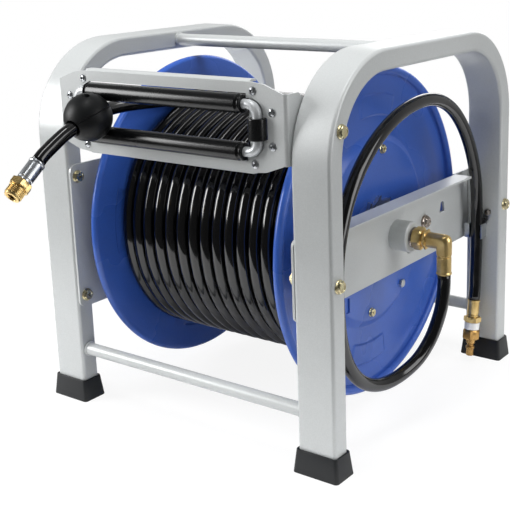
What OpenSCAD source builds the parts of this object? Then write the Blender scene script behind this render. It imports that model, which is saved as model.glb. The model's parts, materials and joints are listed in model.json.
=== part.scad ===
// Spring-rewind hose reel on a bent-tube stand.
// Millimetres. X runs along the drum's axle, the inlet is at +X, the hose leaves towards -Y, and Z is up.
// The origin is on the floor, in the middle of the four feet, under the axle.

/* [Stand] */
// Overall width over the two side frames
frame_w = 444; // [430:1:480]
// Overall depth of a side frame, from front leg to rear leg
frame_d = 435; // [435:1:470]
// Height of the side frames from the floor
frame_h = 465; // [460:1:490]
// Width of the rectangular tube, along the axle
tube_w = 50; // [44:1:54]
// Thickness of the rectangular tube, in the plane of the frame
tube_t = 25; // [22:0.5:28]
// Wall of the rectangular tube
tube_wall = 2; // [1.5:0.25:3]
// Corner radius of the rectangular tube
tube_corner = 4; // [3.5:0.5:6]
// Outer radius of the two top bends of a side frame
bend_r = 115; // [100:1:130]
// Diameter of the three cross bars
bar_d = 16; // [12:1:20]
// Height of the two lower cross bars
bar_low_z = 69; // [60:1:90]

/* [Feet] */
// Height of a rubber foot
foot_h = 28; // [24:1:34]
// Rubber under the end of the tube
foot_sole = 6; // [4:1:9]
// Wall of a foot at its top edge
foot_lip = 2.5; // [2:0.5:4]
// How far the sole of a foot stands out past the tube
foot_flare = 5.5; // [4:0.5:8]

/* [Side plates] */
// Thickness of the steel side plates
plate_t = 3; // [2:0.5:4]
// Height of the right side plate
plate_right_h = 94; // [84:1:110]
// Height of the left side plate
plate_left_h = 187; // [150:1:200]
// Width of the folded top flange of the right side plate
flange_w = 28; // [20:1:32]
// Length of the folded top flange
flange_len = 310; // [240:1:318]
// Outside diameter of the bearing boss
boss_d = 38; // [34:1:44]
// Length of the bearing boss
boss_len = 24; // [18:1:28]

/* [Drum] */
// Height of the axle
axis_z = 223; // [219:1:228]
// Outside diameter of the two discs
disc_d = 416; // [380:2:420]
// Sheet thickness of the discs
disc_t = 2; // [1.5:0.25:2.5]
// Diameter of the rolled rim of a disc
rim_d = 11; // [9:0.5:12]
// Room between the left disc and the left side plate
left_room = 28.5; // [27.5:0.5:31]
// Room between the right disc and the right side plate, for the ratchet
right_room = 34.5; // [33:0.5:37]
// Outside diameter of the drum core
core_d = 225; // [215:1:232]
// Depth of the pressed pocket in the middle of a disc
pocket_depth = 7; // [5:0.5:8]
// Diameter of the fixed shaft
shaft_d = 25; // [22:1:28]
// Distance of the disc bolts from the core's outside
bolt_inset = 8.5; // [8:0.5:12]

/* [Hose] */
// Outside diameter of the hose on the drum
hose_d = 16.25; // [14:0.25:16.5]
// Radius at the middle of the outer layer
wind_r = 156.75; // [150:0.25:158]
// Least space between neighbouring turns of the outer layer
turn_gap = 2; // [1.5:0.1:4]
// Outside diameter of the lead hose
lead_d = 16.25; // [14:0.25:16.5]
// Diameter of the stopper ball
ball_d = 56; // [50:1:60]

/* [Hose guide] */
// How far the guide plate's front face stands ahead of the legs
guide_ahead = 3.5; // [2.5:0.5:8]
// Sheet thickness of the guide plate
guide_t = 2.5; // [2:0.25:3]
// How far the guide's centre lies below the top of the side frames
guide_drop = 77; // [75:1:81]
// Height of the guide plate's rails, above and below its window
rail_h = 14.25; // [12.5:0.25:19]
// Width of the guide plate on either side of its window
guide_post = 53; // [50:1:60]
// Diameter of the rod that carries the rollers
rod_d = 11; // [10:0.5:12]
// Diameter of the four rollers
roller_d = 21; // [19:0.5:22]
// Distance between the axes of the top and bottom roller
roller_gap = 51.5; // [50:0.5:53]
// Distance from the axes of the left and right roller to the legs
roller_inset = 36.5; // [34:0.5:38]
// Length of the left and right roller
side_roller_len = 24; // [20:1:26]

/* [Hidden] */
$fn = 72;

paint = "#b9bdbd";
blue = "#3f5fae";
steel = "#c9ccce";
zinc = "#d8c886";
brass = "#c8a050";
rubber = "#1c1c1e";

gap = 0.3;               // clearance between parts that move past each other
run = 0.05;              // radial running clearance of a bore on a shaft
x_out = frame_w / 2;     // outer faces of the side frames
x_in = x_out - tube_w;   // inner faces of the side frames
leg_y = (frame_d - tube_t) / 2;
web_x = x_in - plate_t;  // inner faces of the side plates
bend_y = frame_d / 2 - bend_r;
bend_z = frame_h - bend_r;
plate_len = frame_d - 2; // the plates stop just short of the legs' front and rear faces

bolt_d = 8;              // bolts of the stand
nut_h = 0.8 * bolt_d;
disc_bolt_d = 6;         // bolts of the drum
disc_nut_h = 0.8 * disc_bolt_d;

disc_r = disc_d / 2;
disc_left = -web_x + left_room;         // inner face of the left disc's flat part
disc_right = web_x - right_room;        // inner face of the right disc's flat part
drum_w = disc_right - disc_left;
core_r = core_d / 2;
bolt_circle_r = core_r - bolt_inset;
core_wall = 2;
pocket_r = core_r + 0.5;
pocket_slope = 13;
hub_r = 26;
bush_r = 18;
bush_flange_r = 22;
bush_flange_t = 3;
shaft_r = shaft_d / 2;
bolt_angle = -98;                       // first of the four disc bolts, from +Y towards +Z
pad_angle = -100;                       // first of the four pressed pads
pad_width = 28;
hub_face = pocket_depth + disc_t;       // outer face of a disc's middle, from the flat part's inner face

hose_r = hose_d / 2;
lead_r = lead_d / 2;
ball_r = ball_d / 2;
rings_per_turn = 24;
bulk_r = wind_r * cos(180 / rings_per_turn) - hose_r - gap;
wind_last = disc_left + hose_r + gap;   // the outer layer ends against the left disc
wind_first = disc_right - hose_r - gap; // and starts against the right one
wind_turns = floor((wind_first - wind_last) / (hose_d + turn_gap));
wind_pitch = (wind_first - wind_last) / wind_turns;

rod_r = rod_d / 2;
roller_r = roller_d / 2;
guide_front = frame_d / 2 + guide_ahead;
guide_z = frame_h - guide_drop;
window_half = x_in - guide_post;
loop_y = -guide_front + guide_t - rod_r; // the rod lies against the cage plates behind the guide plate
loop_x = x_in - roller_inset;
loop_z = roller_gap / 2;
loop_corner = 12;
ball_x = -window_half + 30;
ball_y = loop_y - sqrt(pow(ball_r + roller_r + gap, 2) - loop_z * loop_z);
ball_tilt = 14.7;                       // how far the stopper's bore points down, at its middle
bore_bend = 160;                        // the hose bends down inside the stopper
out_tilt = 38;                          // how far the outlet fitting points down

inlet_x = x_in + boss_len;
ring_t = 3;
nut_len = 12;
elbow_start = inlet_x + ring_t + nut_len + 7;
lead_x = elbow_start + 20.5;            // the elbow's vertical leg
sleeve_top = axis_z - 15;
lead_top = sleeve_top - 25;             // where the lead hose leaves the elbow's sleeve
lead_end = [x_in + 21, 176, 88.5];
lead_lean = 8;                          // how far the pieces on its end lean forward

// Middle line of the lead hose: down from the elbow, once round behind the front leg, and down the rear leg
lead_route = [
    [lead_x, 0, lead_top], [lead_x, 0, lead_top - 17], each [for (p = [
        [65, -3, 142], [61, -9, 119], [57, -19, 100], [51.5, -38, 82],
        [45, -66, 71.5], [40, -96, 70], [36.5, -124, 78], [34.5, -148, 95], [33.5, -166, 119],
        [33, -177, 148], [33, -182, 180], [32.5, -183, 214], [32, -179, 246], [31.5, -170, 276],
        [31, -156, 303], [30.5, -136, 328], [30, -110, 350], [29.5, -79, 368], [29, -44, 381],
        [28.5, -7, 388], [28, 30, 389], [27, 65, 382], [26, 97, 367], [25, 125, 344], [24, 147, 317],
        [23, 164, 287], [21.5, 176, 255], [20.5, 181.5, 222], [20.5, 182.3, 188], [20.5, 182, 155],
        [20.8, 180, 125]
    ]) [x_in + p[0], p[1], p[2]]],
    lead_end + 17 * [0, sin(lead_lean), cos(lead_lean)], lead_end
];

// Middle line of the stopper's bore, at an angle from its middle, positive towards the drum
function in_bore(a) = let (y = bore_bend * sin(a), z = bore_bend * (cos(a) - 1))
    [ball_x, ball_y + y * cos(ball_tilt) - z * sin(ball_tilt), guide_z + y * sin(ball_tilt) + z * cos(ball_tilt)];
bore_middle = [ball_x, ball_y, guide_z];
bore_way = 3 * [0, cos(ball_tilt), sin(ball_tilt)];

// Middle line of the hose from the drum to the stopper ball
function across(share) = wind_last + share * (ball_x - wind_last);
tail_route = [
    [wind_last, -hose_d, axis_z + wind_r], [wind_last, -2 * hose_d, axis_z + wind_r],
    [across(0.048), -60, 380.6], [across(0.164), -90, 382.5], [across(0.338), -120, 385.3],
    [across(0.524), -150, 388.3], [across(0.721), -180, 391], [across(0.896), -206, 392.7],
    in_bore(10), in_bore(7.5), in_bore(5), in_bore(2.5),
    bore_middle + bore_way, bore_middle
];

// Middle line of the hose's free end
function past_ball(y, z) = [ball_x, ball_y - y, guide_z - z];
end_point = past_ball(80, 39);
end_route = [
    bore_middle, bore_middle - bore_way, in_bore(-2.5), in_bore(-5), in_bore(-7.5), in_bore(-10),
    past_ball(38, 14), past_ball(47, 18.5), past_ball(56, 23.3), past_ball(63, 27.3),
    end_point + 0.7 * hose_d * [0, cos(out_tilt), sin(out_tilt)], end_point
];

// ---------- helpers ----------

// 2-D shape drawn in Y and Z, given a thickness along +X
module side_view(x, t) {
    translate([x, 0, 0]) rotate([90, 0, 90]) linear_extrude(t) children();
}

// 2-D shape drawn in X and Z, given a thickness towards +Y
module front_view(y, t) {
    translate([0, y + t, 0]) rotate([90, 0, 0]) linear_extrude(t) children();
}

// Turned piece on the axle: the profile's x is the radius and its y lies along +X
module on_axle(x = 0) {
    translate([x, 0, axis_z]) rotate([0, 90, 0]) rotate_extrude($fn = 120) children();
}

// Copies turned round the axle, each angle counted from +Y towards +Z
module round_axle(angles, r, x = 0) {
    for (a = angles) translate([x, 0, axis_z]) rotate([a, 0, 0]) translate([0, r, 0]) children();
}

module rod_x(x0, x1, r) {
    translate([x0, 0, 0]) rotate([0, 90, 0]) cylinder(h = x1 - x0, r = r);
}

module rounded_rect(w, h, r) {
    square([w - 2 * r, h], center = true);
    square([w, h - 2 * r], center = true);
    for (x = [-1, 1], y = [-1, 1]) translate([x * (w / 2 - r), y * (h / 2 - r)]) circle(r = r, $fn = 32);
}

module hexagon(af) {
    circle(d = af / cos(30), $fn = 6);
}

// Hex head with a round flange, its seat at x = 0 and the head towards +X
module flange_head(d) {
    rod_x(0, 0.19 * d, d);
    side_view(0.19 * d, 0.47 * d) hexagon(1.63 * d);
}

// Sheet fold in 2-D: a quarter ring whose inner corner is at the origin
module fold(r_in, t) {
    intersection() {
        difference() {
            circle(r = r_in + t, $fn = 48);
            circle(r = r_in, $fn = 48);
        }
        square(r_in + t);
    }
}

function unit(v) = v / norm(v);
function heading(p, i) = unit(p[min(i + 1, len(p) - 1)] - p[max(i - 1, 0)]);

// Corners of ring i of a tube: "side" points away from the axle's direction, "up" lies along it
function tube_ring(p, i, r, sides) =
    let (dir = heading(p, i), side = unit(cross(dir, [1, 0, 0])), up = cross(side, dir))
    [for (k = [0:sides - 1]) p[i] + r * (cos(360 * k / sides) * side + sin(360 * k / sides) * up)];

function tube_points(p, r, sides) = [for (i = [0:len(p) - 1]) each tube_ring(p, i, r, sides)];

function tube_faces(n, sides) = concat(
    [for (i = [0:n - 2], k = [0:sides - 1]) let (a = i * sides + k, b = i * sides + (k + 1) % sides)
        [a, b, b + sides]],
    [for (i = [0:n - 2], k = [0:sides - 1]) let (a = i * sides + k, b = i * sides + (k + 1) % sides)
        [a, b + sides, a + sides]],
    [for (k = [1:sides - 2]) [0, k + 1, k]],
    [for (k = [1:sides - 2]) let (e = (n - 1) * sides) [e, e + k, e + k + 1]]
);

module tube(route, r, sides) {
    polyhedron(points = tube_points(route, r, sides), faces = tube_faces(len(route), sides));
}

// ---------- stand ----------

module tube_section() {
    difference() {
        rounded_rect(tube_t, tube_w, tube_corner);
        square([tube_t - 2 * tube_wall, tube_w - 2 * tube_wall], center = true);
    }
}

// One side frame, with bolt holes at [y, z] through both its walls or its inner wall only
module side_frame(side, through, inner = []) {
    xc = side * (x_out + x_in) / 2;
    difference() {
        union() {
            for (m = [0, 1]) mirror([0, m, 0]) {
                translate([xc, leg_y, foot_sole]) rotate([0, 0, 90]) rotate([0, 0, -90])
                    linear_extrude(bend_z - foot_sole) rotate(90) tube_section();
                translate([xc, bend_y, bend_z]) rotate([90, 0, 90])
                    rotate_extrude(angle = 90, $fn = 96) translate([bend_r - tube_t / 2, 0]) tube_section();
            }
            translate([xc, bend_y, frame_h - tube_t / 2]) rotate([90, 0, 0])
                linear_extrude(2 * bend_y) rotate(90) tube_section();
        }
        for (h = through) translate([xc - tube_w, h[0], h[1]]) rod_x(0, 2 * tube_w, bolt_d / 2 + 0.2);
        for (h = inner) translate([side * (x_in + tube_wall / 2), h[0], h[1]])
            rod_x(-tube_wall, tube_wall, bolt_d / 2 + 0.2);
    }
}

left_bolts = [for (y = [-leg_y, leg_y], m = [-1, 1]) [y, axis_z + m * (plate_left_h / 2 - 15.5) - 1]];
right_bolts = [for (y = [-leg_y, leg_y]) [y, axis_z]];
guide_bolt = [-leg_y + 9, guide_z];

module left_frame() color(paint) side_frame(-1, [guide_bolt], left_bolts);
module right_frame() color(paint) difference() {
    side_frame(1, concat(right_bolts, [guide_bolt]));
    at_clip_screw() translate([0, 0, -tube_wall - 5]) cylinder(h = tube_wall + 6, r = clip_screw_r + 0.1);
}

module foot() {
    difference() {
        hull() {
            linear_extrude(2) rounded_rect(tube_w + 2 * foot_flare, tube_t + 2 * foot_flare, 5);
            translate([0, 0, foot_h - 2])
                linear_extrude(2) rounded_rect(tube_w + 2 * foot_lip, tube_t + 2 * foot_lip, 5);
        }
        translate([0, 0, foot_sole]) linear_extrude(foot_h) rounded_rect(tube_w, tube_t, tube_corner);
    }
}

module rubber_feet() color(rubber)
    for (x = [-1, 1], y = [-1, 1]) translate([x * (x_out + x_in) / 2, y * leg_y, 0]) foot();

// Bar between the inner faces of the side frames, with a weld bead at each end
module crossbar(y, z) color(paint) translate([0, y, z]) {
    rod_x(-x_in, x_in, bar_d / 2);
    for (s = [-1, 1]) translate([s * (x_in - 1.5), 0, 0]) rotate([0, 90, 0])
        rotate_extrude() translate([bar_d / 2, 0]) circle(r = 1.5, $fn = 16);
}
module top_crossbar() crossbar(0, frame_h - tube_t / 2);
module front_crossbar() crossbar(-leg_y, bar_low_z);
module rear_crossbar() crossbar(leg_y, bar_low_z);

module plate_holes(holes) {
    for (h = holes) translate([h[0], h[1]]) circle(d = bolt_d + 0.4);
}

module left_side_plate() color(paint) side_view(-x_in, plate_t) difference() {
    translate([0, axis_z - 1]) rounded_rect(plate_len, plate_left_h, 10);
    plate_holes(left_bolts);
    translate([0, axis_z]) circle(r = shaft_r - 2.5);
}

pawl_arm = 71;           // distance from the axle to the pawl's pivot
fold_r = 2;
module right_side_plate() color(paint) {
    z_top = axis_z - 1 + plate_right_h / 2;
    side_view(web_x, plate_t) difference() {
        translate([0, axis_z - 1]) rounded_rect(plate_len, plate_right_h, 8);
        translate([-flange_len / 2, z_top - plate_t - fold_r]) square([flange_len, 20]);
        plate_holes(right_bolts);
        translate([0, axis_z]) circle(r = shaft_r + 0.1);
        translate([pawl_arm, axis_z]) circle(d = bolt_d + 0.2);
        translate([flange_len / 2 - 35, axis_z + 9]) {
            polygon([[-7, -7], [7, -7], [4.5, 3], [-4.5, 3]]);
            translate([0, 3]) circle(r = 4.5);
        }
    }
    translate([0, flange_len / 2, 0]) rotate([90, 0, 0]) linear_extrude(flange_len) {
        translate([x_in + fold_r, z_top - plate_t - fold_r]) mirror([1, 0]) fold(fold_r, plate_t);
        translate([x_in + fold_r, z_top - plate_t]) square([flange_w - plate_t - fold_r, plate_t]);
    }
}

module bearing_boss() color(paint) difference() {
    on_axle(x_in) polygon([
        [shaft_r + 0.05, 0], [boss_d / 2, 0], [boss_d / 2, boss_len - 1.5],
        [boss_d / 2 - 1.5, boss_len], [shaft_r + 0.05, boss_len]
    ]);
    translate([x_in + boss_len - 6, 0, axis_z]) rotate([180, 0, 0]) cylinder(h = boss_d, r = 2.5);
}
module boss_set_screw() color(steel)
    translate([x_in + boss_len - 6, 0, axis_z - shaft_r]) rotate([180, 0, 0])
        cylinder(h = (boss_d - shaft_d) / 2 + 2, r = 2.5);

swivel_x = disc_right - 46.5;  // middle of the rotary joint on the shaft
swivel_len = 46;
swivel_r = shaft_r + 11.5;
spigot_end = shaft_r + 27.5;   // the inner hose starts at the end of the swivel's spigot
inlet_bore = 12;
neck_r = shaft_r - 2.5;
washer_t = 3;
axle_nut_h = 15;
inlet_thread_r = 8.5;
inlet_thread_len = 14;
module axle_shaft() color(steel) difference() {
    union() {
        translate([0, 0, axis_z]) rod_x(-web_x, x_in + boss_len, shaft_r);
        translate([0, 0, axis_z]) rod_x(-x_in - washer_t - axle_nut_h - 3, -web_x, neck_r);
    }
    translate([0, 0, axis_z]) rod_x(swivel_x, x_in + boss_len + 1, inlet_bore / 2);
    translate([0, 0, axis_z])
        rod_x(x_in + boss_len - inlet_thread_len, x_in + boss_len + 1, inlet_thread_r);
    translate([swivel_x, 0, axis_z]) cylinder(h = shaft_d, r = 4);
}
module axle_washer() color(steel)
    on_axle(-x_in - washer_t) translate([neck_r, 0]) square([11, washer_t]);
module axle_nut() color(zinc) side_view(-x_in - washer_t - axle_nut_h, axle_nut_h) difference() {
    translate([0, axis_z]) hexagon(30);
    translate([0, axis_z]) circle(r = neck_r);
}

bush_end = hub_face + bush_flange_t;
module axle_spacers() color(steel) {
    on_axle(disc_right + bush_end + gap)
        translate([shaft_r, 0]) square([4, web_x - disc_right - bush_end - gap]);
    on_axle(-web_x)
        translate([shaft_r, 0]) square([4, web_x + disc_left - bush_end - gap]);
}

hub_len = 12;            // length of a disc's hub ring, with the disc's sheet
core_flange_r = bolt_circle_r - 12;
case_r = core_flange_r - 0.5;
case_depth = 48;
case_wall = 2;
case_x = disc_left - pocket_depth;      // the spring case lies on the left disc's floor
arbor_r = 19;
spring_t = 1.2;
spring_coils = 8;
spring_pitch = 3.4;
module spring_arbor() color(steel) difference() {
    on_axle(case_x + hub_len + 1) translate([shaft_r, 0]) square([arbor_r - shaft_r, case_depth - hub_len - 6]);
    translate([case_x, -2, axis_z + arbor_r - 3]) cube([case_depth, 4, 4]);
}

// Hex bolts with a round flange through both walls of a leg: the right plate's and the guide's
module for_frame_bolts() {
    for (h = concat(right_bolts, [guide_bolt])) translate([0, h[0], h[1]]) children();
    mirror([1, 0, 0]) translate([0, guide_bolt[0], guide_bolt[1]]) children();
}
// The left plate's bolts go in from the plate's inner side, with their nuts inside the tube
module for_plate_bolts() {
    for (h = left_bolts) mirror([1, 0, 0]) translate([0, h[0], h[1]]) children();
}
module frame_bolts() color(zinc) {
    for_frame_bolts() {
        translate([x_out, 0, 0]) flange_head(bolt_d);
        rod_x(web_x - nut_h - 2.5, x_out, bolt_d / 2);
    }
    for_plate_bolts() {
        translate([web_x, 0, 0]) mirror([1, 0, 0]) flange_head(bolt_d);
        rod_x(web_x, x_in + tube_wall + nut_h + 2.5, bolt_d / 2);
    }
}
module frame_nuts() color(zinc) {
    for_frame_bolts() difference() {
        side_view(web_x - nut_h, nut_h) hexagon(1.63 * bolt_d);
        rod_x(web_x - nut_h - 1, x_in, bolt_d / 2);
    }
    for_plate_bolts() difference() {
        side_view(x_in + tube_wall, nut_h) hexagon(1.63 * bolt_d);
        rod_x(x_in, x_in + tube_wall + nut_h + 1, bolt_d / 2);
    }
}

// ---------- hose guide ----------

guide_edge = x_in;       // the guide's side flanges lie against the legs
rail_half = guide_edge - 48;
shoulder_x = guide_edge - 29;
window_z = loop_z + roller_r + 0.5;
guide_half = window_z + rail_h;
side_half = guide_half - 13;
lip_depth = 12;
flange_depth = 40;
guide_spots = [[guide_edge - 44, guide_half - 11.3], [guide_edge - 19.3, side_roller_len / 2 + 6.2]];
screw_r = 2.5;

module guide_outline() {
    polygon([for (s = [[1, 1], [-1, 1], [-1, -1], [1, -1]], p =
        s[0] * s[1] > 0
            ? [[guide_edge - fold_r - guide_t, side_half], [shoulder_x, guide_half - 4], [rail_half, guide_half - 2]]
            : [[rail_half, guide_half - 2], [shoulder_x, guide_half - 4], [guide_edge - fold_r - guide_t, side_half]])
        [s[0] * p[0], s[1] * p[1]]]);
}
module guide_window() {
    square([2 * window_half, 2 * window_z], center = true);
    rounded_rect(2 * (loop_x + rod_r + 0.6), 2 * (loop_z + rod_r + 0.6), loop_corner + rod_r);
    side_roller_cuts();
}
module side_roller_cuts() {
    for (s = [-1, 1]) translate([s * loop_x, 0])
        square([roller_d + 1, side_roller_len + 1], center = true);
}
module screw_spots() {
    for (sx = [-1, 1], sz = [-1, 1], p = guide_spots) translate([sx * p[0], sz * p[1]]) children();
}
module guide_plate() color(paint) translate([0, 0, guide_z]) {
    front_view(-guide_front, guide_t) difference() {
        union() {
            guide_outline();
            square([2 * rail_half, 2 * (guide_half - fold_r - guide_t)], center = true);
        }
        guide_window();
        screw_spots() circle(r = screw_r + 0.1);
    }
    // lips along the top and bottom rail
    for (m = [0, 1]) mirror([0, 0, m]) translate([-rail_half, 0, 0]) rotate([90, 0, 90])
        linear_extrude(2 * rail_half) {
            translate([-guide_front + guide_t + fold_r, guide_half - fold_r - guide_t])
                mirror([1, 0]) fold(fold_r, guide_t);
            translate([-guide_front + guide_t + fold_r, guide_half - guide_t])
                square([lip_depth - guide_t - fold_r, guide_t]);
        }
    // side flanges, bolted to the inner faces of the front legs
    for (m = [0, 1]) mirror([m, 0, 0]) difference() {
        union() {
            translate([0, 0, -side_half]) linear_extrude(2 * side_half)
                translate([guide_edge - fold_r - guide_t, -guide_front + guide_t + fold_r])
                    mirror([0, 1]) fold(fold_r, guide_t);
            side_view(guide_edge - guide_t, guide_t) polygon([
                [-guide_front + guide_t + fold_r, -side_half], [-guide_front + 22, -side_half],
                [-guide_front + flange_depth, -side_half + 14], [-guide_front + flange_depth, side_half - 14],
                [-guide_front + 22, side_half], [-guide_front + guide_t + fold_r, side_half]
            ]);
        }
        translate([0, guide_bolt[0], 0]) rod_x(guide_edge - 5, guide_edge + 1, bolt_d / 2 + 0.2);
    }
}
cage_t = 2;
cage_half = guide_half - 7;
cage_side = guide_half - 17;
module guide_cage_plates() color(paint)
    for (m = [0, 1]) mirror([m, 0, 0]) translate([0, 0, guide_z])
        front_view(-guide_front + guide_t, cage_t) difference() {
            polygon([
                [window_half + 2, -cage_half], [guide_edge - 34, -cage_half], [guide_edge - 11, -cage_side],
                [guide_edge - 11, cage_side], [guide_edge - 34, cage_half], [window_half + 2, cage_half]
            ]);
            side_roller_cuts();
            screw_spots() circle(r = screw_r + 0.1);
        }
module guide_screws() color(steel) translate([0, 0, guide_z]) {
    front_view(-guide_front, guide_t + cage_t + 5) screw_spots() circle(r = screw_r);
    screw_at() difference() {
        intersection() {
            translate([0, 0, -5.2]) sphere(r = 8, $fn = 40);
            cylinder(h = 3, r = 4.75);
        }
        translate([0, 0, 1.6]) linear_extrude(3) hexagon(3);
    }
}
module screw_at() {
    for (sx = [-1, 1], sz = [-1, 1], p = guide_spots)
        translate([sx * p[0], -guide_front, sz * p[1]]) rotate([90, 0, 0]) children();
}
module guide_nuts() color(steel) translate([0, 0, guide_z])
    front_view(-guide_front + guide_t + cage_t, 4) screw_spots() difference() {
        hexagon(8);
        circle(r = screw_r);
    }

// Bent rod loop that all four rollers turn on
module roller_rod() color(steel) translate([0, loop_y, guide_z]) {
    for (s = [-1, 1]) {
        translate([0, 0, s * loop_z]) rod_x(-loop_x + loop_corner, loop_x - loop_corner, rod_r);
        translate([s * loop_x, 0, -loop_z + loop_corner]) cylinder(h = 2 * (loop_z - loop_corner), r = rod_r);
    }
    for (mx = [0, 1], mz = [0, 1]) mirror([mx, 0, 0]) mirror([0, 0, mz])
        translate([loop_x - loop_corner, 0, loop_z - loop_corner]) rotate([90, 0, 0])
            rotate_extrude(angle = 90) translate([loop_corner, 0]) circle(r = rod_r, $fn = 40);
}
long_half = window_half - 1;
module long_roller(z) color(rubber) translate([0, loop_y, z]) rotate([0, 90, 0]) rotate_extrude() polygon([
    [rod_r + run, -long_half], [roller_r - 1, -long_half], [roller_r - 0.3, -long_half + 1.5],
    [roller_r - 1.8, -long_half + 3.5], [roller_r, -long_half + 6], [roller_r, long_half - 6],
    [roller_r - 1.8, long_half - 3.5], [roller_r - 0.3, long_half - 1.5], [roller_r - 1, long_half],
    [rod_r + run, long_half]
]);
module side_roller(x) color(rubber) translate([x, loop_y, guide_z - side_roller_len / 2]) rotate_extrude()
    polygon([
        [rod_r + run, 0], [roller_r - 1, 0], [roller_r, 1], [roller_r, side_roller_len - 1],
        [roller_r - 1, side_roller_len], [rod_r + run, side_roller_len]
    ]);
module top_roller() long_roller(guide_z + loop_z);
module bottom_roller() long_roller(guide_z - loop_z);
module left_roller() side_roller(-loop_x);
module right_roller() side_roller(loop_x);

// ---------- drum ----------

bolt_angles = [for (i = [0:3]) bolt_angle + 90 * i];
slot_angles = [for (i = [0:3]) bolt_angle - 33 + 90 * i];
clamp_angle = -55;
rim_r = rim_d / 2;
pad_in = 142;
pad_out = 171;
pad_h = 2.5;

// Pressed disc with its flat part's inner face at x = 0 and its outer side towards +X, axle at z = 0
module pressed_disc() {
    difference() {
        union() {
            rotate([0, 90, 0]) rotate_extrude($fn = 144) {
                polygon([
                    [bush_r, hub_face - hub_len], [hub_r, hub_face - hub_len], [hub_r, pocket_depth],
                    [pocket_r, pocket_depth], [pocket_r + pocket_slope, 0], [disc_r - rim_r, 0],
                    [disc_r - rim_r, disc_t], [pocket_r + pocket_slope + 1, disc_t],
                    [pocket_r + 0.5, hub_face], [bush_r, hub_face]
                ]);
                translate([disc_r - rim_r, rim_r]) difference() {
                    circle(r = rim_r, $fn = 40);
                    circle(r = rim_r - disc_t, $fn = 40);
                }
            }
            for (i = [0:3]) rotate([pad_angle + 90 * i + 90 - pad_width / 2 - 90, 0, 0]) rotate([0, 90, 0])
                rotate([0, 0, 90]) rotate_extrude(angle = pad_width, $fn = 144)
                    translate([pad_in, disc_t / 2]) square([pad_out - pad_in, pad_h + disc_t / 2]);
        }
        for (i = [0:3]) rotate([pad_angle + 90 * i - pad_width / 2 + 1, 0, 0]) rotate([0, 90, 0])
            rotate([0, 0, 90]) rotate_extrude(angle = pad_width - 2, $fn = 144)
                translate([pad_in + 2, -1]) square([pad_out - pad_in - 4, pad_h + 1]);
        for (a = bolt_angles) rotate([a, 0, 0]) translate([-20, bolt_circle_r, 0])
            rod_x(0, 40, disc_bolt_d / 2 + 0.2);
        for (a = slot_angles) rotate([a, 0, 0]) translate([pocket_depth - 1, bolt_circle_r - 4, -10])
            cube([disc_t + 2, 8, 20]);
        rotate([clamp_angle, 0, 0]) translate([0, bolt_circle_r, 0]) rod_x(0, 20, 3.1);
    }
}
module left_disc() color(blue) translate([disc_left, 0, axis_z]) mirror([1, 0, 0]) pressed_disc();
module right_disc() color(blue) translate([disc_right, 0, axis_z]) pressed_disc();

core_left = disc_left - pocket_depth;
core_len = drum_w + 2 * pocket_depth;
hose_hole_a = 200;
module drum_core() color(steel) difference() {
    on_axle(core_left) polygon([
        [core_flange_r, 0], [core_r, 0], [core_r, core_len], [core_flange_r, core_len],
        [core_flange_r, core_len - core_wall], [core_r - core_wall, core_len - core_wall],
        [core_r - core_wall, core_wall], [core_flange_r, core_wall]
    ]);
    round_axle(bolt_angles, bolt_circle_r, core_left - 1) rod_x(0, core_len + 2, disc_bolt_d / 2 + 0.2);
    round_axle([clamp_angle], bolt_circle_r, 0) rod_x(0, core_len, 3.1);
    round_axle([hose_hole_a], 0, swivel_x) rotate([-90, 0, 0]) cylinder(h = core_r + 5, r = hose_r + 0.2);
}

module for_disc_bolts() {
    round_axle(bolt_angles, bolt_circle_r, disc_right + hub_face) children();
    round_axle(bolt_angles, bolt_circle_r, disc_left - hub_face) mirror([1, 0, 0]) children();
}
module disc_bolts() color(zinc) for_disc_bolts() {
    flange_head(disc_bolt_d);
    rod_x(-disc_t - core_wall - disc_nut_h - 2, 0, disc_bolt_d / 2);
}
module disc_nuts() color(zinc) for_disc_bolts() difference() {
    side_view(-disc_t - core_wall - disc_nut_h, disc_nut_h) hexagon(1.63 * disc_bolt_d);
    rod_x(-30, 0, disc_bolt_d / 2);
}
module clamp_screw() color(steel) round_axle([clamp_angle], bolt_circle_r, disc_right + hub_face) {
    side_view(0, 4) hexagon(10);
    rod_x(-12, 0, 3);
}

module drum_bushes() color("#e6e2d6") {
    for (s = [0, 1]) mirror([s, 0, 0]) on_axle(s == 0 ? disc_right : -disc_left) polygon([
        [shaft_r + run, hub_face - hub_len], [bush_r, hub_face - hub_len], [bush_r, hub_face],
        [bush_flange_r, hub_face], [bush_flange_r, bush_end], [shaft_r + run, bush_end]
    ]);
}

module spring_case() color(steel) on_axle(case_x) polygon([
    [hub_r + gap, 0], [case_r, 0], [case_r, case_depth], [arbor_r + 1, case_depth],
    [arbor_r + 1, case_depth - case_wall], [case_r - case_wall, case_depth - case_wall],
    [case_r - case_wall, case_wall], [hub_r + gap, case_wall]
]);

// Flat spiral spring: coils lie near the case wall, and the last one runs in to the arbor
spring_out = case_r - case_wall - spring_t - gap;
spring_steps = 24;
spring_end = arbor_r + 1;
function spring_radius(t) = t < spring_coils
    ? spring_out - spring_pitch * t
    : spring_out - spring_pitch * spring_coils
        - (spring_out - spring_pitch * spring_coils - spring_end) * (t - spring_coils) / 2;
function spring_line(r_add) = [for (i = [0:spring_steps * (spring_coils + 2)])
    let (t = i / spring_steps, r = spring_radius(t) + r_add) r * [cos(360 * t), sin(360 * t)]];
function backwards(p) = [for (i = [len(p) - 1:-1:0]) p[i]];
module main_spring() color("#7f8a94") translate([case_x + hub_len, 0, axis_z]) rotate([90, 0, 90])
    linear_extrude(case_depth - hub_len - case_wall - 1) polygon(concat(spring_line(0), backwards(spring_line(spring_t))));

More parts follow.
